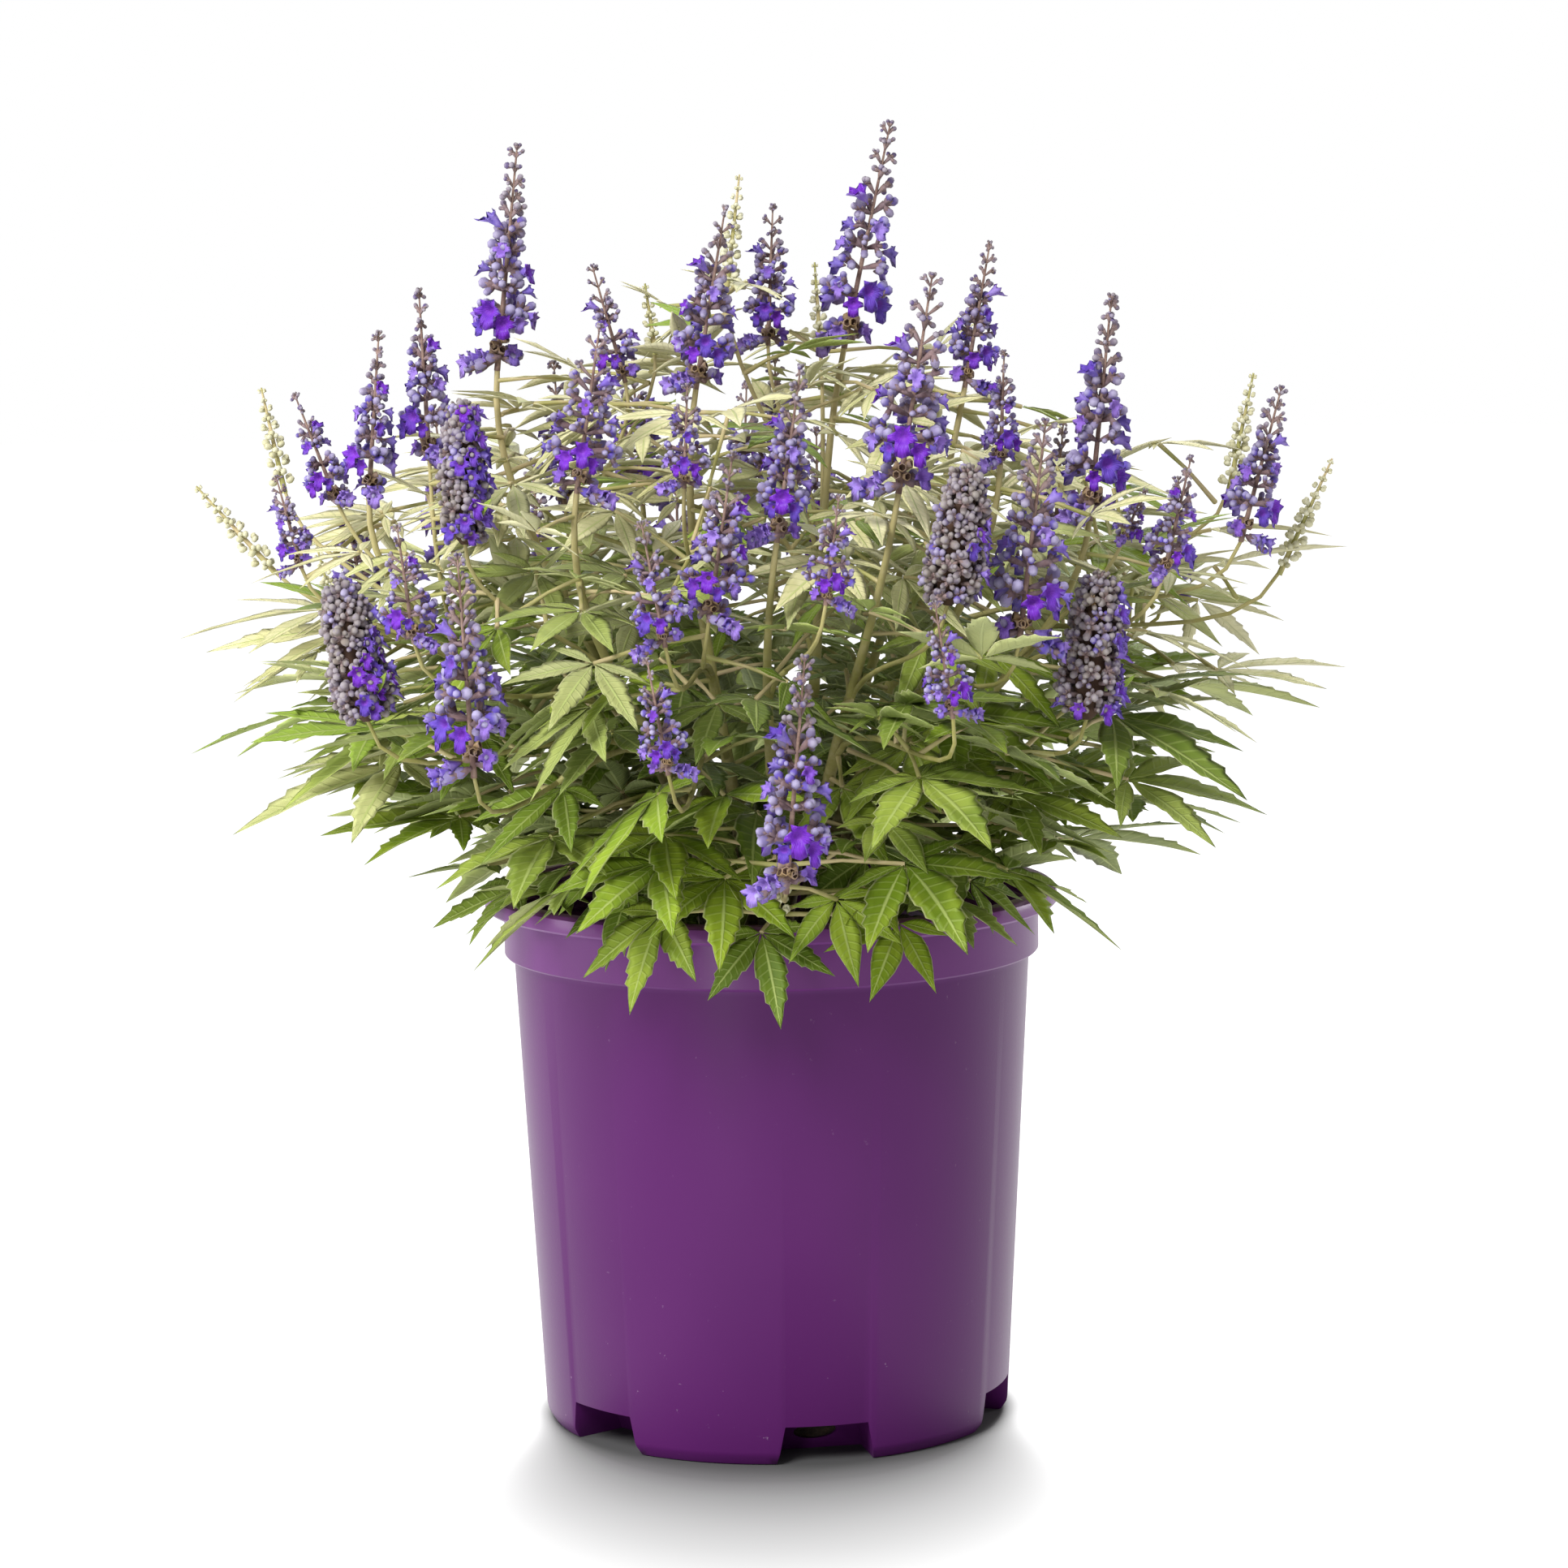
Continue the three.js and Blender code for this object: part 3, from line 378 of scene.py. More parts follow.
pot = turned_solid(
    "nursery_pot",
    [
        [103.2, 0], [104.6, 0.5], [107.2, 4.6], [107.6, 6.5],
        [118.9, 216.6], [119.4, 217.2], [122.6, 217.5],
        [COLLAR_RADIUS, 218.3], [COLLAR_RADIUS, 237.9], [124.0, 238.6], [130.9, 238.9],
        [RIM_RADIUS, 240.0], [RIM_RADIUS, 243.4], [131.5, 245.6], [129.9, 246.8], [128.6, RIM_HEIGHT],
    ],
)
mouth_rings = []
for ring_height in (241.5, 236.5, 231.5, 226.5):
    mouth_rings += [
        [MOUTH_RADIUS + 0.5, ring_height - 2.2],
        [MOUTH_RADIUS - 0.1, ring_height - 1.7],
        [MOUTH_RADIUS - 0.1, ring_height - 0.6],
        [MOUTH_RADIUS + 0.5, ring_height - 0.1],
    ]
mouth_rings.sort(key=lambda ring: ring[1])
hollow = turned_solid(
    "pot_hollow",
    [
        [101.8, POT_FLOOR], [105.3, 8.0], [116.8, 219.7], [MOUTH_RADIUS, 222.0],
        *mouth_rings,
        [MOUTH_RADIUS + 0.6, 245.0],
        [MOUTH_RADIUS + 2.2, RIM_HEIGHT],
        [MOUTH_RADIUS + 2.2, RIM_HEIGHT + 2.0],
    ],
)
cut(hollow, round_the_foot(pocket_wedge, POT_WALL))
cut(pot, hollow)
cut(pot, round_the_foot(pocket_wedge, 0.0))
cut(pot, round_the_foot(drain_hole))
mend(pot)
edges = pot.modifiers.new("soft_edges", "BEVEL")
edges.width = 0.7 * MM
edges.segments = 2
edges.limit_method = "ANGLE"
edges.angle_limit = math.radians(50)
alone(pot)
bpy.ops.object.modifier_apply(modifier=edges.name)
bpy.ops.object.shade_smooth_by_angle(angle=math.radians(35))

pot_finish = Finish(
    "satin_purple_plastic", Specular_IOR_Level=0.11, Coat_Weight=0.3, Coat_Roughness=0.24, Coat_IOR=1.35
)
cloud = pot_finish.noise(7.0, 2.0)
grain = pot_finish.noise(900.0, 2.0)
speck = pot_finish.noise(210.0, 4.0, 0.7)
height = pot_finish.one_way(pot_finish.place(), "Z")
low_down = 1 - height.between(0.01, 0.09)
dust = speck.between(0.68, 0.74) * (0.25 + low_down * 0.75)
plum = blend(cloud.between(0.3, 0.7), (0.074, 0.0080, 0.093), (0.086, 0.0105, 0.106))
# Painted highlight: the upward ledges of the collar and the rim are paler plum, as if lit.
painted_ledge_highlight = height.between(0.214, 0.219) * 0.35 + height.between(0.2385, 0.2395) * 0.25
plum = blend(painted_ledge_highlight, plum, (0.205, 0.062, 0.250))
pot_finish.put("Base Color", blend(dust * 0.45, plum, (0.46, 0.34, 0.48)))
pot_finish.put("Roughness", cloud * 0.08 + 0.33 + dust * 0.3 + grain * 0.05)
pot_finish.bump(grain * 0.6 + cloud * 0.4, 0.0002, 0.25)
pot.data.materials.clear()
pot.data.materials.append(pot_finish.material)
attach(pot, "root")
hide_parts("pot")


# The potting mix
# Dark composted bark and peat, filled to a finger below the rim, a little mounded and crumbly, with
# plain holes where the stems stand.

alone()
mix_bed = linked("potting_mix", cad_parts["soil"].data.copy())
mend(mix_bed)
shape = bmesh.new()
shape.from_mesh(mix_bed.data)
MIX_SURFACE = 0.2165
MIX_REACH = 0.112
top_faces = [face for face in shape.faces if face.normal.z > 0.6 and face.calc_center_median().z > 0.2]
top_edges = list({edge for face in top_faces for edge in face.edges})
bmesh.ops.subdivide_edges(shape, edges=top_edges, cuts=9, use_grid_fill=True)
for point in shape.verts:
    reach = math.hypot(point.co.x, point.co.y)
    if point.co.z > MIX_SURFACE and reach < MIX_REACH:
        lump = noise.noise(point.co * 90) * 2.2 + noise.noise(point.co * 260) * 1.3
        point.co.z += lump * MM
bmesh.ops.triangulate(shape, faces=[face for face in shape.faces if len(face.verts) > 4])
shape.to_mesh(mix_bed.data)
shape.free()
mix_finish = Finish("potting_mix", 0.95)
clod = mix_finish.noise(160.0, 5.0, 0.7)
fibre = mix_finish.noise(520.0, 3.0, 0.7)
mix_finish.put(
    "Base Color",
    mix_finish.ramp(
        clod, (0.3, (0.008, 0.006, 0.005)), (0.55, (0.035, 0.022, 0.014)), (0.75, (0.085, 0.052, 0.03))
    ),
)
mix_finish.bump(clod * 0.7 + fibre * 0.3, 0.002)
mix_bed.data.materials.clear()
mix_bed.data.materials.append(mix_finish.material)
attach(mix_bed, "root")
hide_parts("soil")


# How the shrub grows
# Each leafy stem rises out of the mix on one curve and forks into thinner side shoots, and every
# shoot ends in a flower spike or a bud spike. Leaves grow along them all, wherever there is room.

# Millimetres and degrees. An azimuth is 0 at the front and grows to the right, and a spike is
# [x, y and z of its foot, length, width, lean of its tip to the right].
LEAFY_STEMS = [
    {
        "azimuth": -95,
        "reach": 24,
        "flowers": [
            [-122, 8, 486, 101, 30, 11], [-63, -11, 480, 54, 26, -14], [-95, 70, 420, 66, 28, -4],
        ],
        "cones": [],
        "buds": [[-50, 14, 494, 30, 9, -4]],
    },
    {
        "azimuth": -75,
        "reach": 38,
        "flowers": [
            [-176, -64, 433, 72, 22, 6], [-193, -32, 428, 52, 22, -18], [-150, -48, 448, 75, 26, -3],
            [-205, -83, 403, 41, 19, -10],
        ],
        "cones": [],
        "buds": [[-220, -4, 434, 46, 12, -9], [-223, -36, 399, 50, 12, -33]],
    },
    {
        "azimuth": -44,
        "reach": 30,
        "flowers": [
            [-80, -151, 439, 71, 38, 11], [-149, -176, 378, 49, 30, -6], [-123, -204, 324, 92, 37, -5],
        ],
        "cones": [[-128, -154, 418, 61, 28, 0], [-171, -157, 343, 61, 33, -11]],
        "buds": [],
    },
    {
        "azimuth": -14,
        "reach": 38,
        "flowers": [
            [-30, -61, 479, 80, 32, 14], [-34, -163, 441, 43, 24, 2], [-24, -184, 386, 71, 33, 11],
            [-42, -210, 378, 52, 28, -9], [-41, -231, 327, 48, 24, -8],
        ],
        "cones": [],
        "buds": [],
    },
    {
        "azimuth": 5,
        "reach": 26,
        "flowers": [[5, -165, 418, 74, 26, 11], [25, -214, 395, 45, 24, 6], [7, -215, 275, 98, 37, 9]],
        "cones": [],
        "buds": [[3, -134, 253, 26, 12, 4]],
    },
    {
        "azimuth": 23,
        "reach": 40,
        "flowers": [[57, -162, 438, 92, 40, 15], [77, -223, 348, 48, 24, -7]],
        "cones": [[76, -197, 393, 58, 33, 10]],
        "buds": [],
    },
    {
        "azimuth": 40,
        "reach": 28,
        "flowers": [[102, -122, 447, 48, 19, 2], [107, -172, 373, 95, 40, 12]],
        "cones": [[137, -149, 339, 63, 35, 6]],
        "buds": [],
    },
    {
        "azimuth": 58,
        "reach": 38,
        "flowers": [
            [142, -98, 421, 97, 32, 10], [155, -121, 413, 23, 15, 9], [171, -139, 399, 52, 26, 12],
        ],
        "cones": [],
        "buds": [],
    },
    {
        "azimuth": 86,
        "reach": 26,
        "flowers": [[92, 11, 475, 66, 26, 12], [213, -48, 407, 70, 28, 18], [135, 60, 395, 62, 26, 5]],
        "cones": [],
        "buds": [[212, -3, 428, 53, 12, 11], [235, -11, 391, 55, 12, 23]],
    },
    {
        "azimuth": 120,
        "reach": 8,
        "flowers": [
            [37, 12, 494, 103, 38, 22], [2, 22, 495, 63, 28, 3], [5, 95, 420, 66, 28, 0],
            [-12, 152, 400, 72, 30, 3],
        ],
        "cones": [],
        "buds": [[-16, 9, 525, 48, 11, 6], [26, 40, 496, 36, 9, -2]],
    },
    {
        "azimuth": -145,
        "reach": 34,
        "flowers": [
            [-60, 130, 415, 72, 30, -4], [-150, 100, 395, 70, 28, -8], [-110, 165, 360, 75, 30, -5],
            [-190, 55, 375, 55, 24, -8], [-45, 205, 345, 80, 34, 0],
        ],
        "cones": [],
        "buds": [[-205, 115, 350, 50, 12, -12]],
    },
    {
        "azimuth": 150,
        "reach": 34,
        "flowers": [
            [70, 125, 418, 70, 30, 4], [25, 190, 372, 75, 32, 0], [125, 170, 365, 70, 30, 6],
            [190, 85, 372, 55, 26, 6], [80, 215, 310, 62, 28, 2],
        ],
        "cones": [],
        "buds": [],
    },
]

# The large leaves that show from the front are [x, y, z of the hub, length of the middle leaflet],
# and those of the sides and back stand in tiers of [height, reach from the pot's axis, how many].
FRONT_LEAVES = [
    [-47, -138, 255, 50], [-14, -144, 254, 44], [16, -146, 255, 42], [46, -140, 256, 50],
    [-93, -112, 262, 60], [104, -110, 268, 58], [-47, -158, 280, 60], [58, -158, 278, 60],
    [-139, -60, 288, 64], [160, -50, 292, 60], [-95, -130, 288, 66], [158, -100, 306, 64],
    [-19, -152, 308, 62], [64, -180, 318, 66], [-47, -180, 312, 66], [102, -156, 325, 68],
    [-143, -110, 328, 76], [150, -110, 336, 76], [-66, -168, 338, 66], [60, -164, 348, 64],
    [-58, -180, 362, 62], [-151, -60, 336, 80], [-200, -10, 378, 72], [204, -20, 386, 70],
    [-196, -30, 336, 66], [205, -20, 338, 66], [208, -12, 304, 58], [-165, -50, 312, 84],
    [204, 6, 408, 60], [-172, -30, 420, 56], [10, -170, 345, 64], [30, -140, 394, 54],
    [-62, -146, 388, 56], [108, -120, 402, 54], [-110, -105, 440, 56], [0, -120, 425, 56],
    [60, -115, 440, 56], [-15, -85, 470, 54],
]
LEAF_TIERS = [
    [266, 146, 7], [300, 172, 7], [335, 188, 7], [368, 186, 7], [405, 176, 7], [440, 140, 7],
    [474, 84, 5],
]

UP = np.array([0.0, 0.0, 1.0])
DRAW_SPAN = 4294967296
drawn = 2026


def draw(low, high):
    """A number between low and high from one seeded row of draws."""
    global drawn
    drawn = (drawn * 1664525 + 1013904223) % DRAW_SPAN
    return low + ((high - low) * drawn) / DRAW_SPAN


def around(azimuth, reach, height):
    turn = math.radians(azimuth)
    return np.array([reach * math.sin(turn), -reach * math.cos(turn), height])


def unit(vector):
    return vector / math.sqrt(vector @ vector)


def along(stops, place):
    places, values = zip(*stops)
    return float(np.interp(place, places, values))


STEM_ROOT_HEIGHT = 232
MIX_TOP = 225


class Shoot:
    """A stem on one curve from its root to its end, thinning towards the end."""

    def __init__(self, root, set_off, end, arrive, radii, steps):
        self.span = math.dist(root, end)
        room = max(8, (end[2] - RIM_HEIGHT) * 0.8)
        self.handles = [
            root,
            root + set_off * (self.span * 0.38),
            end - arrive * min(self.span * 0.3, room),
            end,
        ]
        self.radii = radii
        self.centres = self.curve(steps)

    def curve(self, steps):
        t = np.linspace(0, 1, steps + 1)[:, None]
        a, b, c, d = self.handles
        return (1 - t) ** 3 * a + 3 * (1 - t) ** 2 * t * b + 3 * (1 - t) * t**2 * c + t**3 * d

    def at(self, t):
        whole = t * (len(self.centres) - 1)
        before = min(int(whole), len(self.centres) - 2)
        here, there = self.centres[before], self.centres[before + 1]
        return here + (there - here) * (whole - before)

    def heading(self, t):
        return unit(self.at(min(t + 0.04, 1)) - self.at(max(t - 0.04, 0)))

    def radius(self, t):
        return self.radii[0] + (self.radii[1] - self.radii[0]) * t


class Axis:
    """The straight line that a spike grows on."""

    def __init__(self, place):
        x, y, z, length, width, lean = place
        self.foot = np.array([x, y, z], float)
        self.tip = np.array([x + lean, y, z + math.sqrt(length * length - lean * lean)])
        self.direction = unit(self.tip - self.foot)
        self.length = length
        self.half_width = width / 2

    def shoot_end(self):
        return self.foot - self.direction * 0.3


def side_shoot(main, place):
    axis = Axis(place)
    end = axis.shoot_end()
    top = main.centres[-1][2]
    low = min(max((end[2] - STEM_ROOT_HEIGHT) / (top - STEM_ROOT_HEIGHT), 0), 1)
    t = min(max(0.08 + 0.52 * low + draw(-0.03, 0.03), 0.08), 0.62)
    root = main.at(t)
    towards = unit(end - root)
    set_off = unit(main.heading(t) * 0.45 + towards * 0.55 + UP * 0.25)
    return Shoot(root, set_off, end, axis.direction, [main.radius(t) * 0.66, 1.8], 4)


class LeafyStem:
    def __init__(self, plan):
        self.plan = plan
        root = around(plan["azimuth"], plan["reach"], STEM_ROOT_HEIGHT)
        axis = Axis(plan["flowers"][0])
        outward = unit(around(plan["azimuth"], 0.25, 1))
        self.main = Shoot(root, outward, axis.shoot_end(), axis.direction, [4.2, 1.9], 6)
        side_places = plan["flowers"][1:] + plan["cones"] + plan["buds"]
        self.shoots = [self.main] + [side_shoot(self.main, place) for place in side_places]
        self.leaves = []


leafy_stems = [LeafyStem(plan) for plan in LEAFY_STEMS]

SPIKE_OUTLINE = [[0, 0.8], [0.2, 1], [0.45, 0.74], [0.6, 0.52], [0.8, 0.4], [1, 0.22]]
CONE_OUTLINE = [[0, 0.8], [0.15, 1], [0.6, 0.92], [0.85, 0.7], [1, 0.4]]
BUD_SPIKE_OUTLINE = [[0, 1], [0.5, 0.8], [1, 0.3]]

# What is already there, as balls: a leaf grows only where its own balls touch none of them.
taken_places = []
taken_radii = []


def take(place, radius):
    taken_places.append(place)
    taken_radii.append(radius)


for leafy_stem in leafy_stems:
    for shoot in leafy_stem.shoots:
        count = math.ceil(shoot.span / 7)
        for i in range(count + 1):
            take(shoot.at(i / count), shoot.radius(i / count) + 1.5)
    outlines = {"flowers": SPIKE_OUTLINE, "cones": CONE_OUTLINE, "buds": BUD_SPIKE_OUTLINE}
    for kind, outline in outlines.items():
        for place in leafy_stem.plan[kind]:
            axis = Axis(place)
            count = math.ceil(axis.length / 6)
            for i in range(count + 1):
                share = 0.08 + (0.92 * i) / count
                place_up = axis.foot + axis.direction * share * axis.length
                take(place_up, axis.half_width * along(outline, share))

FIVE_LEAFLETS = [[-98, 0.52], [-47, 0.86], [0, 1], [47, 0.86], [98, 0.52]]
HALF_WIDTH_SHARE = 0.115
FOLD = 0.28
SAG = 0.11
SIDE_LIFT = 1.1
LEAF_SIZES = [[262, 72], [330, 76], [400, 64], [480, 54]]
LEAF_DROOPS = [[252, 58], [268, 38], [300, 26], [330, 18], [362, 14], [400, 10], [440, 4], [480, -6]]


def leaf_net():
    """Points over a leaf of length 1, as shares of its forward, left, up and plumb directions."""
    net = []
    for degrees, share in FIVE_LEAFLETS:
        turn = math.radians(degrees)
        half = HALF_WIDTH_SHARE * share
        ribs = [(far, 0.0) for far in (0.16, 0.29, 0.72, 0.86, 1)]
        broad = [(far, side * half * 0.6) for far in (0.43, 0.58) for side in (-1, 1)]
        for far, across in ribs + broad:
            ahead = far * share
            net.append(
                [
                    ahead * math.cos(turn) - across * math.sin(turn),
                    ahead * math.sin(turn) + across * math.cos(turn),
                    FOLD * abs(across),
                    -SAG * share * far * far,
                ]
            )
    return np.array(net)


LEAF_NET = leaf_net()


class Leaf:
    """A palmate leaf: its stalk runs from root to hub, and its leaflets spread from the hub."""

    def __init__(self, root, hub, level, hang, roll, size):
        self.root, self.hub, self.size = root, hub, size
        self.forward = level * math.cos(hang) - UP * math.sin(hang)
        up = level * math.sin(hang) + UP * math.cos(hang)
        self.up = up * math.cos(roll) + np.cross(self.forward, up) * math.sin(roll)
        self.left = np.cross(self.up, self.forward)

    def blade(self):
        return self.hub + self.size * (LEAF_NET @ np.array([self.forward, self.left, self.up, UP]))


def stalk_places(root, hub):
    """Points along a stalk, past the stretch that starts inside its stem."""
    length = math.dist(root, hub)
    shares = (np.arange(9, length, 7) / length)[:, None]
    return root * (1 - shares) + hub * shares


def is_free(places, radius, near_places, near_radii, widest):
    reach = np.hypot(places[:, 0], places[:, 1])
    height = places[:, 2]
    over = (height > RIM_HEIGHT + radius) | (reach > RIM_RADIUS + radius)
    in_mouth = (reach < COLLAR_RADIUS - POT_WALL - radius) & (height > MIX_TOP + radius)
    if not np.all(over | in_mouth) or reach.max(initial=0) > widest:
        return False
    squares = (places**2).sum(1)[:, None] + (near_places**2).sum(1)[None]
    gaps = squares - 2 * places @ near_places.T
    return not np.any(gaps < (radius + near_radii[None]) ** 2)


# Every place on the shoots where a leaf could grow, shoot after shoot
perches = []
for leafy_stem in leafy_stems:
    for shoot in leafy_stem.shoots:
        count = math.ceil(shoot.span / 6)
        perches.append((leafy_stem, np.array([shoot.at(i / count) for i in range(1, count)])))
perch_places = np.vstack([places for _, places in perches])
perch_starts = np.cumsum([0] + [len(places) for _, places in perches])


def roots_for(hub, longest):
    """Where a leaf at a hub could grow from: the nearest place on each shoot, the closest four."""
    distances = np.sqrt(((perch_places - hub) ** 2).sum(1))
    fits = (distances > 14) & (distances < longest) & (perch_places[:, 2] < hub[2] + 12)
    distances[~fits] = np.inf
    closest = np.minimum.reduceat(distances, perch_starts[:-1])
    roots = []
    for i in np.argsort(closest, kind="stable")[:4]:
        if closest[i] < np.inf:
            place = perch_starts[i] + np.argmin(distances[perch_starts[i] : perch_starts[i + 1]])
            roots.append((perches[i][0], perch_places[place]))
    return roots


HUB_SHIFTS = [
    [0, 0], [5, 6], [-5, 6], [4, -7], [-4, -7], [9, 0], [-9, 0], [0, 14], [0, -14], [13, 8], [-13, 8],
    [0, 24], [0, -22],
]
LEAF_TURNS = [0, 16, -16, 32, -32]
LEAF_TILTS = [[0, 1], [12, 0.94], [-12, 0.94], [0, 0.82]]
STALK_ROOM = 2.2


def grow_leaf(
    azimuth, reach, height, size, clearance=3.8, shifts=HUB_SHIFTS, longest=95, widest=276, unruly=10
):
    """Grows one leaf in the first way of holding it that is free, if there is one."""
    sideways = math.sin(math.radians(azimuth)) ** 2
    droop = along(LEAF_DROOPS, height) * (1 - SIDE_LIFT * sideways) + draw(-unruly, unruly)
    roll = math.radians(draw(-26, 26))
    swing = draw(-34, 34)
    places, radii = np.array(taken_places), np.array(taken_radii)
    for shift, rise in shifts:
        hub = around(azimuth + shift, reach, height + rise)
        distances = np.linalg.norm(places - hub, axis=1)
        by_stalk = distances < longest + 25
        by_blade = distances < size * 1.03 + 26
        for leafy_stem, root in roots_for(hub, longest):
            stalk = stalk_places(root, hub)
            if not is_free(stalk, STALK_ROOM, places[by_stalk], radii[by_stalk], widest):
                continue
            for turn in LEAF_TURNS:
                for tilt, share in LEAF_TILTS:
                    level = around(azimuth + swing + turn, 1, 0)
                    leaf = Leaf(root, hub, level, math.radians(droop + tilt), roll, size * share)
                    blade = leaf.blade()
                    if is_free(blade, clearance, places[by_blade], radii[by_blade], widest):
                        taken_places.extend([*stalk, *blade])
                        taken_radii.extend([STALK_ROOM] * len(stalk) + [clearance] * len(blade))
                        leafy_stem.leaves.append(leaf)
                        return


first_leaf_ball = len(taken_radii)
for x, y, height, size in FRONT_LEAVES:
    grow_leaf(math.degrees(math.atan2(x, -y)), math.hypot(x, y), height, size)
for height, reach, count in LEAF_TIERS:
    for i in range(count):
        azimuth = 92 + (i + draw(0.2, 0.8)) * ((268 - 92) / count)
        size = along(LEAF_SIZES, height) * draw(0.92, 1.06)
        grow_leaf(azimuth, reach + draw(-10, 6), height + draw(-8, 8), size)
# The smaller leaves fill the gaps all round: [height, reach, how many, length of the middle leaflet].
SMALL_LEAF_TIERS = [
    [252, 136, 18, 40], [258, 142, 16, 42], [262, 104, 14, 56], [258, 60, 12, 46], [266, 34, 8, 48],
    [274, 74, 12, 52], [270, 148, 14, 50], [280, 88, 10, 58], [286, 126, 16, 58], [290, 50, 8, 54],
    [298, 156, 14, 56], [300, 96, 12, 60], [310, 176, 9, 54], [312, 38, 8, 54], [318, 130, 14, 60],
    [322, 66, 9, 58], [330, 158, 16, 56], [338, 198, 9, 56], [340, 40, 8, 54], [344, 104, 18, 54],
    [350, 182, 15, 54], [356, 138, 18, 52], [362, 208, 10, 54], [364, 72, 14, 52], [374, 160, 20, 50],
    [380, 112, 19, 50], [388, 190, 18, 48], [392, 54, 10, 52], [396, 140, 20, 46], [404, 96, 18, 46],
    [410, 172, 16, 46], [416, 204, 8, 46], [420, 124, 20, 44], [428, 66, 15, 44], [432, 150, 17, 42],
    [440, 184, 7, 44], [444, 104, 19, 42], [450, 36, 8, 46], [456, 132, 13, 44], [462, 80, 13, 44],
    [468, 154, 7, 42], [474, 112, 12, 42], [478, 52, 10, 42], [486, 88, 10, 40], [498, 30, 6, 40],
    [504, 66, 6, 38], [522, 44, 6, 36],
]
# These are narrow and thin, so they also fit closer to the large leaves than those do to each other.
SMALL_LEAF_ROOM = 1.2
taken_radii[first_leaf_ball:] = [SMALL_LEAF_ROOM] * (len(taken_radii) - first_leaf_ball)
FEW_SHIFTS = [[0, 0], [7, 5], [-7, -5], [4, 14], [-4, -13]]
for height, reach, count, size in SMALL_LEAF_TIERS:
    for i in range(count):
        azimuth = (i + draw(0.1, 0.9)) * (360 / count)
        grow_leaf(
            azimuth,
            reach + draw(-16, 10),
            height + draw(-9, 9),
            size * draw(0.85, 1.12),
            clearance=SMALL_LEAF_ROOM,
            shifts=FEW_SHIFTS,
            longest=80 if height < 430 else 58,
            widest=262,
            unruly=22 if height < 350 else 34,
        )


# The leafy stems
# Each one is a woody stem with its side shoots, leaf stalks, palmate leaves and the spikes of cream
# beads that haven't opened. A toothed and a plain leaflet are modelled once and bent to every leaf.


class Cast:
    """A shape that is modelled once, read as points and triangles for copying into pieces."""

    def __init__(self, thing):
        mesh = thing.data
        mesh.calc_loop_triangles()
        self.points = np.array([point.co[:] for point in mesh.vertices])
        self.triangles = np.array([triangle.vertices[:] for triangle in mesh.loop_triangles])
        self.finishes = np.array([triangle.material_index for triangle in mesh.loop_triangles])
        bpy.data.objects.remove(thing)


class Gathering:
    """Copies of casts for one mesh: each point has a place on its copy, a paleness and a chance."""

    def __init__(self):
        self.points, self.triangles, self.finishes, self.marks = [], [], [], []
        self.count = 0

    def add(self, cast, points, on_copy, pale, chance, finish=None):
        self.points.append(points)
        self.triangles.append(cast.triangles + self.count)
        self.finishes.append(cast.finishes if finish is None else np.full(len(cast.triangles), finish))
        each = np.ones(len(points))
        self.marks.append(np.column_stack([on_copy, pale * each, chance * each]))
        self.count += len(points)

    def mesh_object(self, name, materials):
        points = np.vstack(self.points) * MM
        triangles = np.vstack(self.triangles)
        marks = np.vstack(self.marks)
        mesh = bpy.data.meshes.new(name)
        mesh.vertices.add(len(points))
        mesh.loops.add(triangles.size)
        mesh.polygons.add(len(triangles))
        mesh.vertices.foreach_set("co", points.ravel())
        mesh.loops.foreach_set("vertex_index", triangles.ravel())
        mesh.polygons.foreach_set("loop_start", np.arange(0, triangles.size, 3))
        mesh.polygons.foreach_set("material_index", np.concatenate(self.finishes))
        mesh.polygons.foreach_set("use_smooth", np.ones(len(triangles), bool))
        mesh.uv_layers.new(name="UVMap").data.foreach_set("uv", marks[triangles, :2].ravel())
        for column, mark in enumerate(("pale", "chance"), 2):
            mesh.attributes.new(mark, "FLOAT", "POINT").data.foreach_set("value", marks[:, column])
        for material in materials:
            mesh.materials.append(material)
        mesh.update(calc_edges=True)
        return linked(name, mesh)


def leaflet_blank(strips):
    """A blade from -1 to 1 both ways: a top and an underside that meet all round in a thin edge."""
    alone()
    bpy.ops.mesh.primitive_grid_add(x_subdivisions=4, y_subdivisions=strips, size=2)
    blank = bpy.context.object
    for end in (-1, 1):
        for point in blank.data.vertices:
            point.select = abs(point.co.y - end) < 1e-4
        for edge in blank.data.edges:
            edge.select = False
        for face in blank.data.polygons:
            face.select = False
        bpy.ops.object.mode_set(mode="EDIT")
        bpy.ops.mesh.merge(type="CENTER")
        bpy.ops.object.mode_set(mode="OBJECT")
    blank.data.materials.append(None)
    blank.data.materials.append(None)
    with editing():
        bpy.ops.mesh.duplicate()
        bpy.ops.mesh.flip_normals()
        bpy.ops.transform.translate(value=(0, 0, -2))
    for face in blank.data.polygons:
        face.material_index = 1 if face.center.z < -1 else 0
    for point in blank.data.vertices:
        at_edge = abs(point.co.x) > 0.99 or abs(point.co.y) > 0.99
        point.co.z = 0 if at_edge else point.co.z + 1
    with editing():
        bpy.ops.mesh.remove_doubles(threshold=1e-4)
    return Cast(blank)


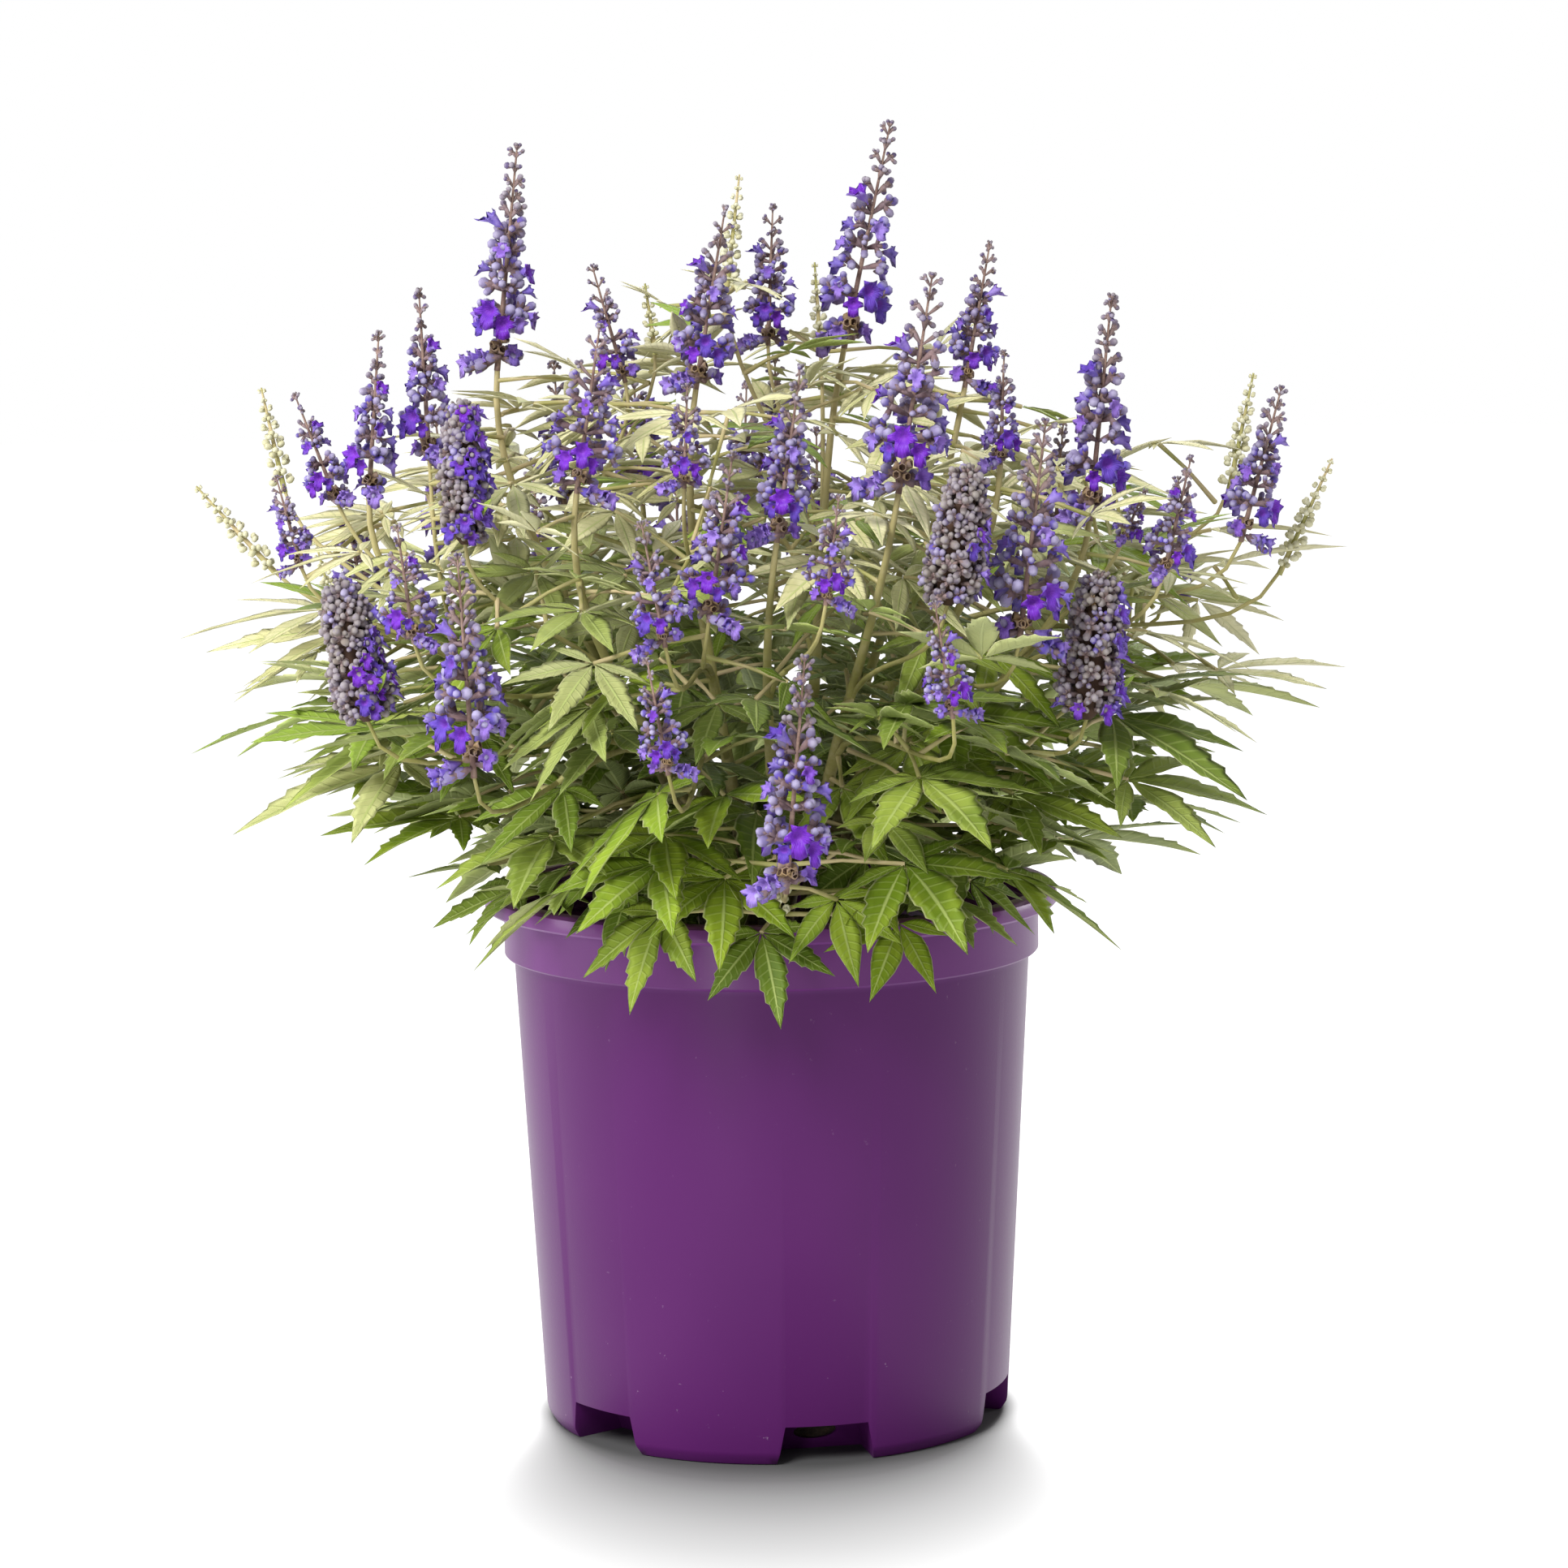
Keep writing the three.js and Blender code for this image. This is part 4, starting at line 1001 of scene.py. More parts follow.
# Half the width of a leaflet along its length, as a share of its widest. Low leaves have coarse
# teeth that point to the tip, and high ones are plain and narrow with a long point.
TOOTHED_OUTLINE = [
    [0, 0.06], [0.06, 0.09], [0.15, 0.46], [0.27, 0.82], [0.39, 0.99], [0.5, 1.04], [0.525, 0.84],
    [0.63, 0.92], [0.655, 0.68], [0.75, 0.7], [0.775, 0.46], [0.88, 0.27], [1, 0],
]
PLAIN_OUTLINE = [
    [0, 0.06], [0.07, 0.1], [0.18, 0.5], [0.33, 0.9], [0.47, 1], [0.62, 0.84], [0.77, 0.5], [0.89, 0.2],
    [1, 0],
]
TOOTHED_BLANK = leaflet_blank(len(TOOTHED_OUTLINE) - 1)
PLAIN_BLANK = leaflet_blank(len(PLAIN_OUTLINE) - 1)
SEVEN_LEAFLETS = [[-132, 0.3], *FIVE_LEAFLETS, [132, 0.3]]


def lay_leaflet(gathering, leaf, degrees, share, toothed, half_share, pale, chance):
    """Bends one leaflet to its leaf: folded along its rib, its tip hanging, its edge waved."""
    blank, outline = (TOOTHED_BLANK, TOOTHED_OUTLINE) if toothed else (PLAIN_BLANK, PLAIN_OUTLINE)
    rows = np.array(outline)
    side, level = blank.points[:, 0], blank.points[:, 2]
    row = np.rint((blank.points[:, 1] + 1) / 2 * (len(rows) - 1)).astype(int)
    offset = draw(-0.022, 0.022)
    far = rows[row, 0]
    far = far + offset * side * (far > 0.2) * (far < 0.99)
    length = leaf.size * share * draw(0.95, 1.05)
    across = side * rows[row, 1] * half_share * length
    turn = math.radians(degrees + draw(-5, 5))
    bow = draw(-0.07, 0.07) * length
    wave = draw(0.04, 0.13) * np.sin(far * draw(9, 15) + draw(0, 6)) * np.abs(across)
    twist = draw(-0.35, 0.35) * far
    lifted = FOLD * draw(0.7, 1.35) * np.abs(across) + wave + twist * across + level * 0.22
    ahead = far * length
    over = across + bow * far * far
    spread = np.column_stack(
        [
            ahead * math.cos(turn) - over * math.sin(turn),
            ahead * math.sin(turn) + over * math.cos(turn),
            lifted,
            -SAG * draw(0.75, 1.3) * length * far * far,
        ]
    )
    points = leaf.hub + spread @ np.array([leaf.forward, leaf.left, leaf.up, UP])
    on_copy = np.column_stack([0.5 + side * 0.5, far])
    gathering.add(blank, points, on_copy, pale, chance)


# Leaves are paler high up and at the crown's left and right ends, and low leaves near the middle are
# darker green as painted shade. Low, large ones have teeth, and the largest have seven leaflets.
PALE_HEIGHTS = [[340, 0], [450, 1]]
PALE_SIDES = [[120, 0], [210, 1]]
PAINTED_SHADE_REACHES = [[70, 1], [150, 0]]
PAINTED_SHADE_BELOW = 390
TOOTHED_BELOW = 372
TOOTHED_FROM = 42
SEVEN_FROM = 60

# Half a leaflet's greatest width as a share of its length, at heights over the floor
LEAFLET_HALF_WIDTHS = [[260, 0.165], [330, 0.145], [400, 0.118], [480, 0.112]]


def lay_leaf(gathering, leaf):
    height = leaf.hub[2]
    reach = math.hypot(leaf.hub[0], leaf.hub[1])
    up_high = along(PALE_HEIGHTS, height)
    outside = along(PALE_SIDES, abs(leaf.hub[0]))
    pale = min(max(0.9 * up_high + 0.6 * outside + draw(-0.25, 0.25), 0), 1)
    if draw(0, 1) < 0.1:
        pale = -draw(0.2, 1)
    toothed = height < TOOTHED_BELOW and leaf.size > TOOTHED_FROM
    half_share = along(LEAFLET_HALF_WIDTHS, height) * (1 - 0.35 * outside)
    leaflets = SEVEN_LEAFLETS if leaf.size > SEVEN_FROM else FIVE_LEAFLETS
    # Low leaves near the middle get a higher chance, which the leaf finish turns into darker green: painted
    # shade.
    inside = along(PAINTED_SHADE_REACHES, reach) if height < PAINTED_SHADE_BELOW else 0
    chance = draw(0, 1) + 0.7 * inside
    for degrees, share in leaflets:
        lay_leaflet(gathering, leaf, degrees, share, toothed, half_share, pale, chance + draw(-0.1, 0.1))


def rods(name, routes, sides, material):
    """Round rods along routes of [place, radius], in millimetres, made as one bevelled curve."""
    curve = bpy.data.curves.new(name, "CURVE")
    curve.dimensions = "3D"
    curve.bevel_depth = MM
    curve.bevel_resolution = sides // 2 - 2
    curve.use_fill_caps = True
    for route in routes:
        spline = curve.splines.new("POLY")
        spline.points.add(len(route) - 1)
        for point, (place, radius) in zip(spline.points, route):
            point.co = (*(np.asarray(place) * MM), 1)
            point.radius = radius
    alone(linked(name, curve))
    bpy.ops.object.convert(target="MESH")
    made = bpy.context.object
    made.data.materials.append(material)
    bpy.ops.object.shade_smooth()
    return made


def shoot_route(shoot, steps, thin):
    places = zip(shoot.curve(steps), np.linspace(0, 1, steps + 1))
    return [(place, shoot.radius(share) * (thin - 0.22 * share)) for place, share in places]


def stalk_route(leaf):
    middle = (leaf.root + leaf.hub) / 2 + UP * math.dist(leaf.root, leaf.hub) * 0.035
    return [(leaf.root, 1.25), (middle, 0.85), (leaf.hub, 1.1)]


alone()
bpy.ops.mesh.primitive_uv_sphere_add(segments=6, ring_count=4, radius=1)
ROUND_BUD = Cast(bpy.context.object)


def frame_about(direction):
    """Two directions square to this one: one level, and one that is as near to upright as it can be."""
    level = unit(np.cross(UP if abs(direction[2]) < 0.97 else np.array([0, 1.0, 0]), direction))
    return level, np.cross(direction, level)


def lay_copy(gathering, cast, place, outward, size, pale, chance, finish=None, on_copy=None):
    """Sets one copy of a cast at a place, its own +Z pointing outward, with a size for each of its axes."""
    level, upright = frame_about(outward)
    points = place + (cast.points * size) @ np.array([level, upright, outward])
    if on_copy is None:
        on_copy = np.column_stack([cast.points[:, 0] * 0.5 + 0.5, cast.points[:, 2] * 0.5 + 0.5])
    gathering.add(cast, points, on_copy, pale, chance, finish)


CREAM_BEADS = 2


def lay_bud_spike(gathering, place):
    """An unopened spike: opposite tufts of small cream beads up a thin rachis."""
    axis = Axis(place)
    first, second = frame_about(axis.direction)
    count = max(4, round(axis.length / 4.2))
    for i in range(count):
        share = (i + 0.5) / count
        half = axis.half_width * along(BUD_SPIKE_OUTLINE, share)
        centre = axis.foot + axis.direction * share * axis.length
        turn = i * math.pi / 2 + draw(-0.3, 0.3)
        for facing in (0, math.pi):
            out = first * math.cos(turn + facing) + second * math.sin(turn + facing)
            side = np.cross(axis.direction, out)
            for sideways, lift in ((-0.5, 0.1), (0.5, 0.15), (0, 0.7)):
                bead = min(1.5, half * 0.3) * draw(0.85, 1.15)
                seat = centre + out * (half - bead) * draw(0.75, 1) + side * sideways * bead * 2.1
                seat = seat + axis.direction * lift * bead * 2
                pointing = unit(out + axis.direction * 0.5 + side * sideways)
                size = np.array([bead, bead, bead * 1.25])
                lay_copy(gathering, ROUND_BUD, seat, pointing, size, share, draw(0, 1), CREAM_BEADS)
    return [(axis.foot - axis.direction * 3, 1.5), (axis.foot + axis.direction * axis.length, 0.5)]


def leaf_finish(name, underside):
    finish = Finish(name, 0.52, Specular_IOR_Level=0.2)
    aside = (finish.one_way(finish.on_copy(), "X") - 0.5).size() * 2
    rib = 1 - aside.between(0.03, 0.13)
    vein_place = ((finish.one_way(finish.on_copy(), "Y") - aside * 0.1) * 11).fraction()
    vein = (1 - (vein_place - 0.5).size().between(0.05, 0.16)) * (1 - aside.between(0.75, 0.97))
    pale = finish.attribute("pale")
    chance = finish.attribute("chance")
    young = (pale * -1).between(0, 1)
    old = pale.between(0.05, 0.95)
    blotch = finish.noise(38.0, 3.0)
    patch = finish.noise(11.0, 2.0)
    speck = finish.noise(330.0, 3.0, 0.6).between(0.69, 0.75)
    green = blend(blotch.between(0.35, 0.68), (0.138, 0.215, 0.009), (0.268, 0.358, 0.026))
    # A high chance gives darker green. For leaves low inside the crown this is painted shade.
    green = blend(chance.between(0.3, 1.0) * 0.75, green, (0.070, 0.120, 0.014))
    green = blend(patch.between(0.5, 0.72) * 0.4, green, (0.330, 0.400, 0.070))
    khaki = blend(blotch.between(0.3, 0.7), (0.590, 0.560, 0.280), (0.800, 0.750, 0.455))
    green = blend(old, green, khaki)
    green = blend(young, green, (0.250, 0.365, 0.045))
    edge = aside.between(0.88, 0.98) * 0.5
    green = blend(edge, green, (0.640, 0.640, 0.350))
    green = blend((rib * 0.7).most(vein * 0.2), green, (0.420, 0.500, 0.160))
    if underside:
        grey = blend(blotch, (0.520, 0.500, 0.310), (0.690, 0.650, 0.460))
        green = blend(0.22 + 0.6 * old, green, grey)
    green = blend(speck * 0.55, green, (0.045, 0.050, 0.018))
    finish.put("Base Color", green)
    finish.put("Roughness", blotch * 0.2 + (0.6 if underside else 0.42))
    depth = (1 - rib * 0.9) * (1 - vein * 0.5) * 0.8 + blotch * 0.2
    finish.bump(depth if not underside else depth * -1, 0.0009, 0.6)
    return finish.material


leaf_top = leaf_finish("leaf_upper_side", False)
leaf_underside = leaf_finish("leaf_underside", True)

cream_finish = Finish("cream_flower_beads", 0.7)
bead_tone = cream_finish.attribute("chance")
bead_noise = cream_finish.noise(420.0)
cream = blend(bead_tone, (0.50, 0.47, 0.27), (0.70, 0.68, 0.50))
cream = blend(bead_noise.between(0.4, 0.7) * 0.5, cream, (0.42, 0.42, 0.30))
cream_finish.put("Base Color", cream)
cream_finish.bump(bead_noise, 0.0004, 0.5)

bark_finish = Finish("young_bark", 0.75)
bark_height = bark_finish.one_way(bark_finish.place(), "Z")
streak = bark_finish.noise(160.0, 4.0, 0.65)
bark = bark_finish.ramp(
    bark_height.between(0.22, 0.5),
    (0.0, (0.110, 0.080, 0.030)),
    (0.4, (0.290, 0.275, 0.070)),
    (1.0, (0.42, 0.35, 0.17)),
)
bark_finish.put("Base Color", blend(streak.between(0.4, 0.7) * 0.4, bark, (0.42, 0.36, 0.20)))
bark_finish.bump(streak, 0.0008, 0.6)

stalk_finish = Finish("leaf_stalk", 0.6)
stalk_tone = stalk_finish.noise(45.0).between(0.35, 0.65)
stalk_finish.put("Base Color", blend(stalk_tone, (0.34, 0.33, 0.10), (0.50, 0.40, 0.22)))
stalk_finish.bump(stalk_finish.noise(500.0), 0.0003, 0.4)

for number, leafy_stem in enumerate(leafy_stems, 1):
    gathering = Gathering()
    for leaf in leafy_stem.leaves:
        lay_leaf(gathering, leaf)
    rachises = [lay_bud_spike(gathering, place) for place in leafy_stem.plan["buds"]]
    name = f"leafy_stem_fine_{number:02d}"
    blades = gathering.mesh_object(name, [leaf_top, leaf_underside, cream_finish.material])
    main_route = shoot_route(leafy_stem.main, 18, 0.88)
    foot = leafy_stem.main.centres[0]
    buried = [(foot - UP * 36, 3.6), (foot - UP * 18, 3.6)]
    wood = rods("wood", [buried + main_route], 8, bark_finish.material)
    side_routes = [shoot_route(shoot, 10, 0.68) for shoot in leafy_stem.shoots[1:]]
    twigs = rods("twigs", side_routes, 8, bark_finish.material)
    thin = [stalk_route(leaf) for leaf in leafy_stem.leaves] + rachises
    stalks = rods("stalks", thin, 6, stalk_finish.material)
    piece = one_of([blades, wood, twigs, stalks])
    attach(piece, "root")
    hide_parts(f"leafy_stem_{number:02d}")


# The flower spikes
# Each flowering shoot ends in a spike: a thin brown rachis with opposite tufts of round buds in
# mauve-brown calyces, and violet two-lipped flowers that open from below. Some spikes are tight
# cones. Bud, calyx and flower are modelled once and set by hundreds.

PETAL, PETAL_BACK, BUD, CALYX, CUP_INSIDE, BRACT = range(6)


def small_turning(profile, segments):
    """A small turned shape, kept in millimetres."""
    made = turned_solid("small_turning", profile, segments)
    made.data.transform(Matrix.Scale(1 / MM, 4))
    return made


# Under a bud or a flower the calyx is a plain taper, and where the flower has fallen it is an open cup.
CALYX_TAPER = Cast(small_turning([[0.35, 0], [0.92, 0.7], [0.95, 1]], 5))
calyx = small_turning([[0.35, 0], [0.92, 0.7], [1, 1], [0.75, 1], [0.5, 0.6]], 6)
for _ in range(BRACT):
    calyx.data.materials.append(None)
for face in calyx.data.polygons:
    inner = math.hypot(*face.center[:2]) < 0.7 and face.center.z > 0.5
    face.material_index = CUP_INSIDE if inner else CALYX
CALYX_CUP = Cast(calyx)

# How far each point of the flower's face stands out, by its angle from the lip that points down
LOBES = {0: 5.9, 24: 5.7, 48: 3.0, 72: 4.7, 96: 4.2, 120: 2.5, 144: 4.0, 168: 3.0}
LOBE_LIFTS = {0: 2.0, 24: 0.9, 48: 0.5, 72: -0.5, 96: 0.8, 120: -0.3, 144: -0.4, 168: 0.6}
flower = small_turning([[0.8, 0], [1.6, 2.0], [2.5, 3.8], [4, 5], [2.1, 4.3], [0.9, 2.4]], 15)
for _ in range(2):
    flower.data.materials.append(None)
first = flower.data.vertices[0].co
flower.data.transform(Matrix.Rotation(-math.pi / 2 - math.atan2(first.y, first.x), 4, "Z"))
for face in flower.data.polygons:
    reach = math.hypot(*face.center[:2])
    face.material_index = PETAL if face.normal.z > 0 or reach < 0.6 and face.center.z > 1 else PETAL_BACK
for point in flower.data.vertices:
    if abs(point.co.z - 5) < 0.01:
        angle = round(abs(math.degrees(math.atan2(point.co.x, -point.co.y))) / 24) * 24
        point.co.xy *= LOBES[angle] / 4
        point.co.z += LOBE_LIFTS[angle]
OPEN_FLOWER = Cast(flower)
FLOWER_UV = np.column_stack(
    [
        np.arctan2(OPEN_FLOWER.points[:, 0], -OPEN_FLOWER.points[:, 1]) / (2 * math.pi) + 0.5,
        np.hypot(OPEN_FLOWER.points[:, 0], OPEN_FLOWER.points[:, 1]) / 7,
    ]
)


# The brightest flowers are [degrees from the front, share up the spike, size], and the rings above
# them [share up the spike, turn of the tufts, turns of the flowers].
BRIGHTEST_FLOWERS = [[4, 0.27, 1.5], [-22, 0.215, 1.3], [24, 0.2, 1.0], [178, 0.26, 1.4], [156, 0.2, 1.1]]
FLOWER_RINGS = [[0.35, 70, [-110, 165]], [0.44, 25, [78, -92, 180]], [0.525, 80, [-8, 150]]]
TOP_TURNS = [85, 20, 70, 5, 80]
BUD_RADIUS = 2.85
# A cone has tiers of tufts, this far apart and with so many tufts round.
TIER_HEIGHT = 6
TUFTS_ROUND = 7


class Spike:
    """One spike: its axis, its own right, front and up, and the copies that it is built from."""

    def __init__(self, place, form):
        self.axis = Axis(place)
        self.up = self.axis.direction
        foot = self.axis.foot
        outward = np.array([foot[0] * 0.35, -100, 0]) if foot[1] < 40 else np.array([foot[0], foot[1], 0])
        heading = math.atan2(outward[0], -outward[1]) + draw(-0.3, 0.3)
        level = np.array([math.sin(heading), -math.cos(heading), 0])
        self.front = unit(level - self.up * (level @ self.up))
        self.right = np.cross(self.up, self.front)
        if form == "panicle" and draw(0, 1) < 0.5:
            self.right = -self.right
        self.scale = 0.2 + 0.8 * min(self.axis.length, 100) / 100
        self.gathering = Gathering()

    def at(self, share):
        return self.axis.foot + self.up * (share * self.axis.length)

    def out(self, degrees):
        """Square to the rachis: 0 is its front and 90 its right."""
        turn = math.radians(degrees)
        return self.front * math.cos(turn) + self.right * math.sin(turn)

    def calyx(self, start, pointing, radius, length, pale=0.0):
        size = np.array([radius, radius, length])
        cast, finish = (CALYX_CUP, None) if pale == 1 else (CALYX_TAPER, CALYX)
        lay_copy(self.gathering, cast, start, pointing, size, pale, draw(0, 1), finish)

    def bud(self, start, tip, radius, pale):
        """A calyx from start to tip, with a round bud in its mouth."""
        stretch = tip - start
        length = math.sqrt(stretch @ stretch)
        pointing = stretch / length
        self.calyx(start, pointing, radius * 0.88, max(length - radius * 0.6, radius), pale)
        ball = np.array([draw(0.92, 1.05), draw(0.92, 1.05), draw(1.0, 1.2)]) * radius
        seat = tip - pointing * radius * 0.4
        lay_copy(self.gathering, ROUND_BUD, seat, pointing, ball, pale, draw(0, 1), BUD)

    def flower(self, start, pointing, size, pale=0.0, stretch=1.0):
        pointing = unit(pointing)
        shape = np.array([draw(0.85, 1.1), draw(0.9, 1.1), draw(0.9, 1.15) * stretch]) * size
        lay_copy(self.gathering, OPEN_FLOWER, start, pointing, shape, pale, draw(0, 1), None, FLOWER_UV)
        self.calyx(start - pointing * size, pointing, 1.4 * size, 3.2 * size)

    def tuft(self, share, degrees, reach, lift, buds, radius, pale):
        """A short branch beside the rachis that ends in a ball of buds. Gives the ball's middle."""
        out = self.out(degrees)
        side = np.cross(self.up, out)
        root = self.at(share)
        heart = root + out * max(reach - radius * 2.5, radius) + self.up * lift * reach
        branch = heart - root
        length = math.sqrt(branch @ branch)
        self.calyx(root, branch / length, radius * 0.75, length + radius * 0.4, pale)
        turn = draw(0, 6)
        for i in range(buds):
            spin = turn + i * 2 * math.pi / max(buds - 1, 1) + draw(-0.3, 0.3)
            aside = side * math.cos(spin) + self.up * (math.sin(spin) + 0.3)
            pointing = unit(out * draw(0.1, 1.0) + aside) if i else unit(out + self.up * draw(0, 0.8))
            far = radius * draw(1.6, 2.6)
            self.bud(heart - pointing * radius * 0.4, heart + pointing * far, radius * draw(0.6, 1.1), pale)
        return heart

    def trailing_foot(self, half, bud):
        """The lowest flowers have nearly all fallen: empty cups, and one last tuft that trails aside."""
        low = self.at(0.055)
        trail = unit(self.out(68) - self.up * 0.35)
        for far, radius in ((0.3, 1.0), (0.55, 1.15), (0.72, 0.95), (0.9, 0.8)):
            tip = low + trail * half * far + self.out(0) * bud * draw(0.6, 1.5) - self.up * bud * draw(0, 1)
            self.bud(tip - trail * bud * 2.4, tip, bud * radius, 0.1)
        for far in (0.4, 0.7, 1.0):
            start = low + trail * half * far * 0.8 + self.up * bud * draw(0.3, 1.2)
            self.flower(start, trail + self.out(0) * draw(0.2, 1.2), 1.2 * self.scale, 0.8)
        self.flower(low - trail * half * 0.35, self.out(-40) + self.up * 0.2, 1.1 * self.scale, 0.5)
        self.tuft(0.07, 165, half * 0.7, 0, 4, bud, 0.2)
        self.tuft(0.06, -120, half * 0.6, -0.1, 2, bud, 0.2)
        for i in range(9):
            start = self.at(0.09 + draw(-0.025, 0.04))
            pointing = unit(self.out(i * 40 + draw(-15, 15)) + self.up * draw(-0.3, 0.6))
            self.calyx(start, pointing, bud * 0.75, bud * 1.5, 1)

    def panicle(self):
        length = self.axis.length
        half = self.axis.half_width
        bud = BUD_RADIUS * self.scale
        self.trailing_foot(half, bud)
        # The widest ring has tufts all round and the brightest flowers in front and behind.
        wide = half * 0.98
        for degrees in (58, -62, 104, -108, 165):
            heart = self.tuft(0.235 + draw(-0.02, 0.025), degrees, wide * draw(0.85, 1), 0.1, 4, bud, 0.12)
            if draw(0, 1) < 0.35:
                heading = self.out(degrees * 0.8) - self.up * 0.3
                self.flower(heart + self.out(degrees) * bud, heading, 0.95 * self.scale, 0.7)
        for degrees, share, size in BRIGHTEST_FLOWERS:
            heading = self.out(degrees)
            self.flower(self.at(share) + heading * wide * 0.6, heading - self.up * 0.1, size * self.scale)
        for share, turn, flowering in FLOWER_RINGS if length > 60 else FLOWER_RINGS[::2]:
            wide = half * along(SPIKE_OUTLINE, share)
            for degrees in (turn, turn - 180, turn + 90, turn - 90):
                swung, reach = degrees + draw(-14, 14), wide * draw(0.72, 1)
                self.tuft(share, swung, reach, 0.2, 3, bud * draw(0.75, 1), 0.25)
            for degrees in flowering:
                out = self.out(degrees + draw(-12, 12))
                heading = out + self.up * draw(-0.2, 0.5)
                size = draw(0.85, 1.1) * self.scale
                self.flower(self.at(share) + out * wide * 0.65, heading, size, draw(0, 0.9))
        share = 0.605
        heading = unit(self.out(75) + self.up * 0.8)
        self.flower(self.at(share) + heading * half * 0.25, heading, 1.1 * self.scale, 0.1, 1.5)
        for degrees, lift in ((-80, 0.5), (178, 0.4), (100, 0.1)):
            self.tuft(share - 0.01, degrees, half * 0.56, lift, 4, bud * 0.86, 0.4)
        tops = 5 if length > 84 else 4 if length > 55 else 3
        for i in range(tops):
            share = 0.68 + 0.27 * i / (tops - 1)
            reach = max(half * along(SPIKE_OUTLINE, share), 2.6)
            small = bud * (0.66 - 0.3 * i / tops)
            for degrees in (TOP_TURNS[i], TOP_TURNS[i] + 180):
                swung, far = degrees + draw(-20, 20), reach * draw(0.85, 1.1)
                self.tuft(share, swung, far, 0.55, 3, small * draw(0.85, 1.15), 0.7)
        crown = self.at(0.985)
        for degrees in (0, 120, 240):
            self.bud(crown, crown + self.up * bud + self.out(degrees) * bud * 0.5, bud * 0.34, 0.8)
        thick = 0.45 + 0.55 * self.scale
        return [(self.at(share), (1.6 - 1.15 * share) * thick) for share in (-0.01, 0.3, 0.6, 1)]

    def cone(self):
        half = self.axis.half_width
        tiers = round(self.axis.length / TIER_HEIGHT)
        for i in range(tiers):
            share = 0.05 + 0.84 * i / (tiers - 1)
            wide = half * along(CONE_OUTLINE, share)
            for k in range(TUFTS_ROUND):
                degrees = (k + 0.5 * (i % 2) + draw(-0.16, 0.16)) * 360 / TUFTS_ROUND
                out = self.out(degrees)
                rightward = math.sin(math.radians(degrees))
                grey = draw(0.75, 1) if draw(0, 1) < 0.88 else 0.3
                rise = share + draw(-0.02, 0.02)
                heart = self.tuft(rise, degrees, wide * draw(0.75, 0.93), 0.1, 6, draw(1.7, 2.1), grey)
                if draw(0, 1) < (0.55 if i == 0 else 0.95 * (rightward + 0.15) * (1.35 - share) + 0.05):
                    heading = out + self.up * draw(-0.3, 0.5)
                    self.flower(heart + out * 0.5, heading, draw(0.8, 1.05), draw(-0.2, 0.4))
        top = self.at(0.95)
        for k in range(9):
            tip = top + self.up * draw(1, 4) + self.out(k * 40) * draw(1, 4.5)
            self.bud(top - self.up * 2, tip, draw(0.8, 1.2), 0.95)
        shares = (-0.01, 0.06, 0.3, 0.7, 0.95)
        # The core is thick, and takes the near-black painted shade finish.
        core = (0.12, 0.36, 0.44, 0.38, 0.2)
        self.bract(self.at(0.16) + self.out(70) * half * 0.5)
        return [(self.at(share), half * thick) for share, thick in zip(shares, core)]

    def bract(self, start):
        """A slim yellow-green leaflet that stands out between the lowest flowers."""
        pointing = unit(self.out(70) + self.up * 0.9)
        side = unit(np.cross(pointing, self.out(0)))
        far = (PLAIN_BLANK.points[:, 1] + 1) / 2
        half = 1.6 * np.sin(far * math.pi) * PLAIN_BLANK.points[:, 0]
        lift = PLAIN_BLANK.points[:, 2] * 0.15 + np.abs(half) * 0.4
        points = start + np.outer(far * 15, pointing) + np.outer(half, side) + np.outer(lift, self.out(0))
        on_copy = np.column_stack([PLAIN_BLANK.points[:, 0] * 0.5 + 0.5, far])
        self.gathering.add(PLAIN_BLANK, points, on_copy, -0.8, 0.5, BRACT)


petal_finish = Finish("violet_petals", 0.5, Specular_IOR_Level=0.3)
petal_far = petal_finish.one_way(petal_finish.on_copy(), "Y")
petal_turn = petal_finish.one_way(petal_finish.on_copy(), "X")
petal_pale = petal_finish.attribute("pale")
petal_chance = petal_finish.attribute("chance")
petal_vein = ((petal_turn * 26).fraction() - 0.5).size().between(0.18, 0.42)
violet = blend(petal_chance.between(0.2, 0.9), (0.170, 0.024, 0.500), (0.112, 0.060, 0.430))
violet = blend((1 - petal_vein) * 0.3, violet, (0.090, 0.012, 0.300))
violet = blend(petal_far.between(0.7, 1.05) * 0.4, violet, (0.300, 0.165, 0.660))
throat = 1 - petal_far.between(0.16, 0.3)
violet = blend(throat * 0.6, violet, (0.250, 0.050, 0.530))
violet = blend(petal_pale.between(0, 1) * 0.85, violet, (0.350, 0.240, 0.640))
petal_finish.put("Base Color", violet)
petal_finish.put("Roughness", petal_chance * 0.2 + 0.42)
petal_finish.bump(petal_vein, 0.0004, 0.5)

back_finish = Finish("petal_backs", 0.6)
back_noise = back_finish.noise(300.0)
back_chance = back_finish.attribute("chance")
back_violet = blend(back_chance, (0.200, 0.110, 0.500), (0.130, 0.085, 0.430))
back_violet = blend(back_noise.between(0.4, 0.65) * 0.5, back_violet, (0.330, 0.250, 0.560))
back_finish.put("Base Color", back_violet)
back_finish.bump(back_noise, 0.0003, 0.5)

